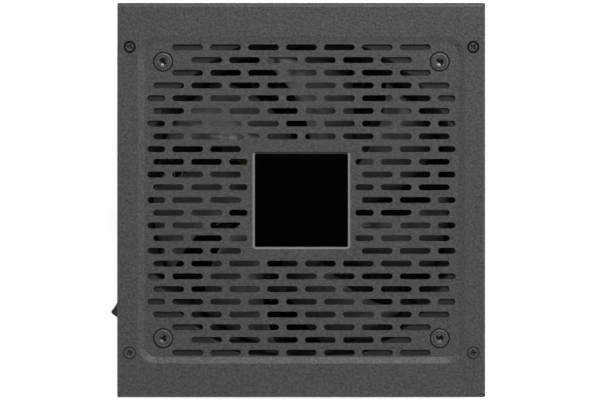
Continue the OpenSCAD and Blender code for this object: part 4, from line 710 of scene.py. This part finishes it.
def socketShadeLining(look, outline):
    # a thin, glossy near-black lining of the driver's recess: painted shade in the recess, while the glint
    # comes from its gloss
    thin = look["lining"]
    point, floor, rim = holeRings(look, outline)
    inside = [(0, point[1] + thin), (floor[0] - thin, floor[1] + thin), (rim[0] - thin, rim[1])]
    return ringRows(inside + [rim, floor, point], screwTurns)


def facingRear(grid):
    # turns a screw that points down so that its head faces -X
    return np.stack([-grid[..., 2], grid[..., 1], grid[..., 0]], axis=-1)


coverScrew = {"headRadius": 2.12, "headHeight": 1.1, "shankRadius": 1.45, "length": 4, "recess": 1.2,
              "point": 0.18, "soft": 0.06, "chamfer": 0.2, "arm": 1.2, "armHalf": 0.38,
              "faceRings": (0.3, 0.6, 0.85), "at": (65.15, 58), "top": 86}
deepScrew = {**coverScrew, "headRadius": 1.6, "headHeight": 0.9, "top": 85.88}
fanScrew = {"headRadius": 3.45, "headHeight": 1.3, "shankRadius": 2.1, "length": 10, "recess": 1.2,
            "point": 0.5, "soft": 0.1, "chamfer": 0.42, "corner": 1.7, "faceRings": (0.4, 0.8),
            "groove": [(2.2, 0), (2.3, -0.3), (2.5, -0.3), (2.6, 0)],
            "lining": 0.03, "at": (52.5, 52.5), "top": 85.2}
# near-black ring round a head, painted shade in the gap between head and sheet: radius and height at each
# corner of the ring's section
fanShadeRing = [(3.3, -0.44), (3.84, -0.44), (3.84, -0.3), (3.3, -0.3), (3.3, -0.44)]
deepShadeRing = [(1.5, -0.4), (2.04, -0.4), (2.2, -0.2), (1.5, -0.2), (1.5, -0.4)]
flushShadeRing = [(1.9, -0.3), (2.13, -0.3), (2.28, -0.12), (1.9, -0.12), (1.9, -0.3)]
inletScrew = {"headRadius": 2.9, "headHeight": 1.5, "shankRadius": 1.5, "length": 6, "recess": 1.2,
              "point": 0.18, "soft": 0.08, "chamfer": 0.5, "arm": 1.6, "armHalf": 0.42,
              "faceRings": (0.3, 0.6, 0.85), "at": (-38, 22), "spread": 20, "face": -72.2,
              "turns": (0.2, 0.6)}
signs = [(-1, -1), (1, -1), (-1, 1), (1, 1)]
driverTurns = [0.5, 0.15, -0.3, 0.85]
flushCorners = (0, 1)
deepCorners = (2, 3)  # where a cover screw is driven in deeper


def turned(grid, angle):
    c, s = math.cos(angle), math.sin(angle)
    return grid @ np.array([[c, s, 0], [-s, c, 0], [0, 0, 1]])


def atCorners(grid, look, corners=flushCorners + deepCorners):
    # one at each corner, turned as the screw there happened to stop
    x, y = look["at"]
    places = [(signs[k], driverTurns[k]) for k in corners]
    return [turned(grid, a) + [sx * x, sy * y, look["top"]] for (sx, sy), a in places]


def makeScrews():
    cross = crossOutline(coverScrew["arm"], coverScrew["armHalf"])
    heads = atCorners(screwGrid(coverScrew, cross), coverScrew, flushCorners)
    heads += atCorners(screwGrid(deepScrew, cross), deepScrew, deepCorners)
    makePiece("coverScrews", heads, "cover_screws")
    # near-black rings paint the shade in the gaps round the cover screws' heads, wider where a screw is
    # driven deeper
    rings = atCorners(revolve(flushShadeRing), coverScrew, flushCorners)
    rings += atCorners(revolve(deepShadeRing), coverScrew, deepCorners)
    makePiece("coverScrewShadeRings", rings, "cover_screws", finishes["gap_shade_black"])
    hexed = hexOutline(fanScrew["corner"])
    makePiece("fanScrews", atCorners(screwGrid(fanScrew, hexed), fanScrew), "fan_screws")
    # a near-black lining paints the shade in each hex recess
    shadeLinings = atCorners(socketShadeLining(fanScrew, hexed), fanScrew)
    makePiece("fanScrewSocketShade", shadeLinings, "fan_screws", finishes["shaded_socket"])
    # a near-black ring paints the shade in the gap round each fan screw's head
    makePiece("fanScrewShadeRings", atCorners(revolve(fanShadeRing), fanScrew), "fan_screws", finishes["gap_shade_black"])
    grid = screwGrid(inletScrew, crossOutline(inletScrew["arm"], inletScrew["armHalf"]))
    y, z = inletScrew["at"]
    grids = [facingRear(turned(grid, angle)) + [inletScrew["face"], y + side * inletScrew["spread"], z]
             for side, angle in zip((-1, 1), inletScrew["turns"])]
    makePiece("inletScrews", grids, "inlet_screws")


makeScrews()
print("screws made")


# Impeller: seven swept blades on a round hub

rotor = {"blades": 7, "hubRadius": 20.5, "tipRadius": 57.2, "hubLow": 62.7, "hubHigh": 83, "hubWall": 1.5,
         "shaftRadius": 1.5, "shaftGap": 0.1, "bossRadius": 3.1, "bossHeight": 3.4, "edge": 1.2,
         "edgePoints": 7}
# a blade's angles in degrees; from hub to tip its span and its rise grow less, and its lower edge lifts
blade = {"phase": 75, "phaseRadius": 38, "sweep": 29, "span": 37, "spanLoss": 0.1, "low": 63.9, "rise": 15,
         "rootRise": 0.92, "riseLoss": 0.16, "lift": 0.06, "bow": 0.16, "sunk": 0.9, "thick": 1.8,
         "thinEdge": 0.4, "roundEnd": 2.2, "roundTip": 0.02, "rows": 44, "cols": 56}


def bladeGrid(number):
    # u runs from hub to tip and the loop w runs round the blade's section, out along the top and back below
    u = np.linspace(0, 1, blade["rows"])[:, None]
    w = turnsOf(blade["cols"])[None, :]
    v = (1 - np.cos(w)) / 2
    root = rotor["hubRadius"] - blade["sunk"]
    radius = root + (rotor["tipRadius"] - root) * u
    lean = blade["sweep"] * (radius - blade["phaseRadius"]) / (rotor["tipRadius"] - rotor["hubRadius"])
    angle = blade["phase"] + lean + blade["span"] * (1 - blade["spanLoss"] * u) * (v - 0.5)
    angle = np.radians(angle + 360 / rotor["blades"] * number)
    hump = np.sin(math.pi * v)
    climb = (blade["rootRise"] - blade["riseLoss"] * u) * (v + blade["bow"] * hump)
    middle = blade["low"] + blade["rise"] * (blade["lift"] * u + climb)
    roundEnd = np.sqrt(np.clip(np.abs(np.sin(w)) * blade["roundEnd"], 0, 1))
    roundTip = np.sqrt(np.clip((1 - u) / blade["roundTip"], 0, 1))
    body = blade["thinEdge"] + (1 - blade["thinEdge"]) * hump
    half = blade["thick"] / 2 * body * roundEnd * roundTip
    z = middle + np.sign(np.sin(w)) * half
    return np.stack([radius * np.cos(angle), radius * np.sin(angle), z], axis=-1)


def makeImpeller():
    top, low, wall, edge = rotor["hubHigh"], rotor["hubLow"], rotor["hubWall"], rotor["edge"]
    outer, inner = rotor["hubRadius"], rotor["hubRadius"] - wall
    bend = np.linspace(0, quarterTurn, rotor["edgePoints"])
    shoulder = [(outer - edge + edge * math.cos(t), top - edge + edge * math.sin(t)) for t in bend]
    under = top - wall
    foot, stop = under - rotor["bossHeight"], under - rotor["shaftGap"]
    shaft, boss = rotor["shaftRadius"], rotor["bossRadius"]
    hub = [(0, stop), (shaft, stop), (shaft, foot), (boss, foot), (boss, under), (inner, under),
           (inner, low), (outer, low)]
    hub += shoulder + [(outer / 2, top), (0, top)]
    grids = [revolve(hub, sides=96)] + [bladeGrid(i) for i in range(rotor["blades"])]
    makePiece("impeller", grids, "fan_impeller")


makeImpeller()
print("impeller made")


# Rocker: a hollow face between two round ends, with a bar and a ring printed on its halves

rocker = {"x": -68.5, "y": -38, "z": 47, "radius": 9.1, "face": 3, "hollow": 15, "depth": 2.2, "tilt": 14,
          "width": 10.4, "soft": 0.45, "pinRadius": 1.5, "pinReach": 6.1, "sideMiddle": (0, 1, 0),
          "blur": 0.7, "endPoints": 40, "facePoints": 60, "softPoints": 6, "points": 200}
marks = {"from": 4.4, "barLength": 4.2, "barHalf": 0.4, "ringRadius": 1.8, "ringHalf": 0.36, "height": 0.08,
         "straight": 0.9}  # of the bar's half length, before its round end


def onHollow(arc):
    # where the face is at this distance from its middle, the way along it and the way out of it
    lean, none = arc / rocker["hollow"], 0 * arc
    along = np.stack([np.cos(lean), np.sin(lean), none], axis=-1)
    out = np.stack([-np.sin(lean), np.cos(lean), none], axis=-1)
    return np.array([0, rocker["face"] + rocker["hollow"], 0]) - out * rocker["hollow"], along, out


def rockerOutline():
    # round ends on the swing circle, the hollow face between them and the flat base, then softened
    r, hollow = rocker["radius"], rocker["hollow"]
    middle = rocker["face"] + hollow
    tip = math.asin((r**2 + middle**2 - hollow**2) / (2 * middle * r))
    base = math.asin(-rocker["depth"] / r)
    arc = np.linspace(base, tip, rocker["endPoints"])
    right = r * np.stack([np.cos(arc), np.sin(arc)], axis=-1)
    left = (right * [-1, 1])[::-1]
    reach = hollow * math.asin(right[-1, 0] / hollow)
    face = onHollow(np.linspace(reach, -reach, rocker["facePoints"])[1:-1])[0][:, :2]
    corners = np.vstack([right, face, left, right[:1]])
    length = np.concatenate([[0], np.cumsum(np.linalg.norm(np.diff(corners, axis=0), axis=1))])
    at = np.linspace(0, length[-1], rocker["points"], endpoint=False)
    outline = np.stack([np.interp(at, length, corners[:, i]) for i in (0, 1)], axis=-1)
    gap = np.minimum(at, length[-1] - at)
    weight = np.exp(-0.5 * (gap / rocker["blur"]) ** 2)
    blurred = np.fft.ifft(np.fft.fft(outline, axis=0) * np.fft.fft(weight / weight.sum())[:, None], axis=0)
    return blurred.real


def onRocker(grid):
    # from the rocker's own plane, where its face looks along +Y, to its place on the rear wall
    return turned(grid, math.radians(90 - rocker["tilt"])) + [rocker["x"], rocker["y"], rocker["z"]]


def makeRocker():
    outline = rockerOutline()
    step = np.roll(outline, -1, axis=0) - np.roll(outline, 1, axis=0)
    outward = unitRows(np.stack([step[:, 1], -step[:, 0]], axis=-1))
    bend = np.linspace(0, quarterTurn, rocker["softPoints"])
    soft, half = rocker["soft"], rocker["width"] / 2
    lower = [atHeight(outline - outward * soft * (1 - math.sin(t)), -half + soft * (1 - math.cos(t)))
             for t in bend]
    upper = [row * [1, 1, -1] for row in lower[::-1]]
    middle = np.zeros_like(lower[0]) + rocker["sideMiddle"]
    grid = np.stack([middle - [0, 0, half], *lower, *upper, middle + [0, 0, half]])
    thick, reach = rocker["pinRadius"], rocker["pinReach"]
    pin = [(0, -reach), (thick, -reach), (thick, reach), (0, reach)]
    makePiece("rockerCap", [onRocker(grid), onRocker(revolve(pin, sides=32))], "switch_rocker")


def flatTube(path, sideways, out, half, height):
    # an ellipse, wide across the face and low above it, carried along the path
    turn = turnsOf(12)[None, :, None]
    return path[:, None] + half * np.cos(turn) * sideways[:, None] + height * np.sin(turn) * out[:, None]


def makeMarks():
    upright = np.array([0, 0, 1.0])
    straight = marks["straight"]
    ends = np.array([-1, -0.97, -straight, straight, 0.97, 1])
    past = np.clip((np.abs(ends) - straight) / (1 - straight), 0, 1)
    thin = np.sqrt(1 - past**2)
    point, along, out = onHollow(np.full_like(ends, marks["from"]))
    path = point + ends[:, None] * upright * marks["barLength"] / 2
    bar = flatTube(path, thin[:, None] * along, out, marks["barHalf"], marks["height"])
    makePiece("barMark", [onRocker(bar)], "switch_rocker", finishes["printed_mark"])
    turn = np.linspace(0, fullTurn, 49)
    point, along, out = onHollow(marks["ringRadius"] * np.cos(turn) - marks["from"])
    path = point + marks["ringRadius"] * np.sin(turn)[:, None] * upright
    sideways = along * np.cos(turn)[:, None] + upright * np.sin(turn)[:, None]
    ring = flatTube(path, sideways, out, marks["ringHalf"], marks["height"])
    makePiece("ringMark", [onRocker(ring)], "switch_rocker", finishes["printed_mark"])


makeRocker()
makeMarks()
print("rocker made")


# Windings: a wire that climbs out, over, in and under a ring core, a little further round each turn

chokes = [
    {"name": "boostWinding", "node": "boost_choke_winding", "at": [(-15, -59.5, 27.1)], "upright": True,
     "turns": 22, "first": [24], "span": 312, "middle": 13.1, "reach": 4.75, "rise": 7.85, "wire": 0.65},
    {"name": "lineWindings", "node": "line_choke_windings", "at": [(-49, 2, 15.2), (-24, -6, 15.2)],
     "upright": False, "turns": 7, "first": [18, 198], "span": 144, "middle": 8, "reach": 4.15,
     "rise": 6.15, "wire": 0.45},
]
turnPoints = 28  # along one turn of the wire


def rootOf(v):
    return np.sign(v) * np.sqrt(np.abs(v))


def windingGrid(choke, first):
    # the square root squares off each turn, so that it hugs the core's flat sides
    s = np.linspace(0, 1, choke["turns"] * turnPoints + 1)
    turn = fullTurn * choke["turns"] * s
    at = np.radians(first + choke["span"] * s)
    out = choke["middle"] + choke["reach"] * rootOf(np.cos(turn))
    path = np.stack([out * np.cos(at), out * np.sin(at), choke["rise"] * rootOf(np.sin(turn))], axis=-1)
    side = np.stack([np.cos(turn) * np.cos(at), np.cos(turn) * np.sin(at), np.sin(turn)], axis=-1)
    return tubeAlong(path, side, choke["wire"], sides=10)


def makeWindings():
    for choke in chokes:
        grids = []
        for place in choke["at"]:
            for first in choke["first"]:
                grid = windingGrid(choke, first)
                if choke["upright"]:  # the ring stands on its edge
                    grid = np.stack([-grid[..., 1], -grid[..., 2], grid[..., 0]], axis=-1)
                grids.append(grid + place)
        makePiece(choke["name"], grids, choke["node"], sharp=80)


makeWindings()
print("windings made")


# Wires inside the case, along the same points as their solids

wires = [
    {"name": "mainsWires", "node": "mains_wires", "radius": 1.1, "runs": [
        [(-50.9, -42, 47), (-47.4, -42, 47), (-45.9, -45, 44), (-46.4, -51.5, 36), (-46.9, -53.2, 26),
         (-46.9, -53.2, 12.6), (-46.9, -53.2, 8.66)],
        [(-50.9, -34, 47), (-46.9, -34, 47), (-43.8, -34, 44.5), (-42.4, -34, 40.5), (-42.4, -34, 37.5),
         (-42.4, -34, 36.06)]]},
    {"name": "earthWire", "node": "earth_wire", "radius": 0.9, "runs": [
        [(-43.26, -56.2, 14), (-47, -56.2, 14), (-54, -56.2, 12.6), (-59.5, -57.5, 10.45),
         (-60.4, -60.5, 10.15), (-60.4, -62, 10.15)]]},
    {"name": "fanCable", "node": "fan_cable", "radius": 1.2, "runs": [
        [(-12.8, 17.75, 60.7), (-17.96, 22.91, 60.7), (-25.95, 30.9, 60.7), (-33.94, 38.89, 57.8),
         (-42, 43.4, 53.8), (-49, 44, 46), (-52, 44, 35), (-52, 44, 26.6), (-52, 44, 22.66)]]},
]
wireSide = np.array([0.35, 0.8, 0.45])  # a direction that no wire runs along
earthLug = {"at": (-60.4, -66.4), "low": 8.6, "high": 9.4, "radius": 3, "bore": 1.7, "tongueHalf": 1.5,
            "tongueLength": 6}


def makeWires():
    for wire in wires:
        paths = [smoothPath(run) for run in wire["runs"]]
        grids = [tubeAlong(path, wireSide + 0 * path, wire["radius"], sides=16) for path in paths]
        makePiece(wire["name"], grids, wire["node"], sharp=80)


def makeLug():
    # round the bore, the farther of the ring's edge and the tongue's edge in each direction
    turn = turnsOf(96)
    c, s = np.maximum(np.abs(np.cos(turn)), tiny), np.maximum(np.sin(turn), tiny)
    tongue = np.minimum(earthLug["tongueHalf"] / c, earthLug["tongueLength"] / s)
    edge = np.where(np.sin(turn) > 0, np.maximum(earthLug["radius"], tongue), earthLug["radius"])
    bore, low, high = earthLug["bore"], earthLug["low"], earthLug["high"]
    rings = [(bore, low), (edge, low), (edge, high), (bore, high), (bore, low)]
    grid = ringRows(rings, turn) + [*earthLug["at"], 0]
    makePiece("earthLug", [grid], "earth_wire", finishes["tinned"])


makeWires()
makeLug()
print("wires made")


# The other solids keep their shape and take the finish of their slot

for nodeName, nodeObject in nodes.items():
    if not nodeObject.hide_render:
        nodeObject.data.materials.clear()
        nodeObject.data.materials.append(finishes[slotOf[nodeName]])
print("finishes assigned")
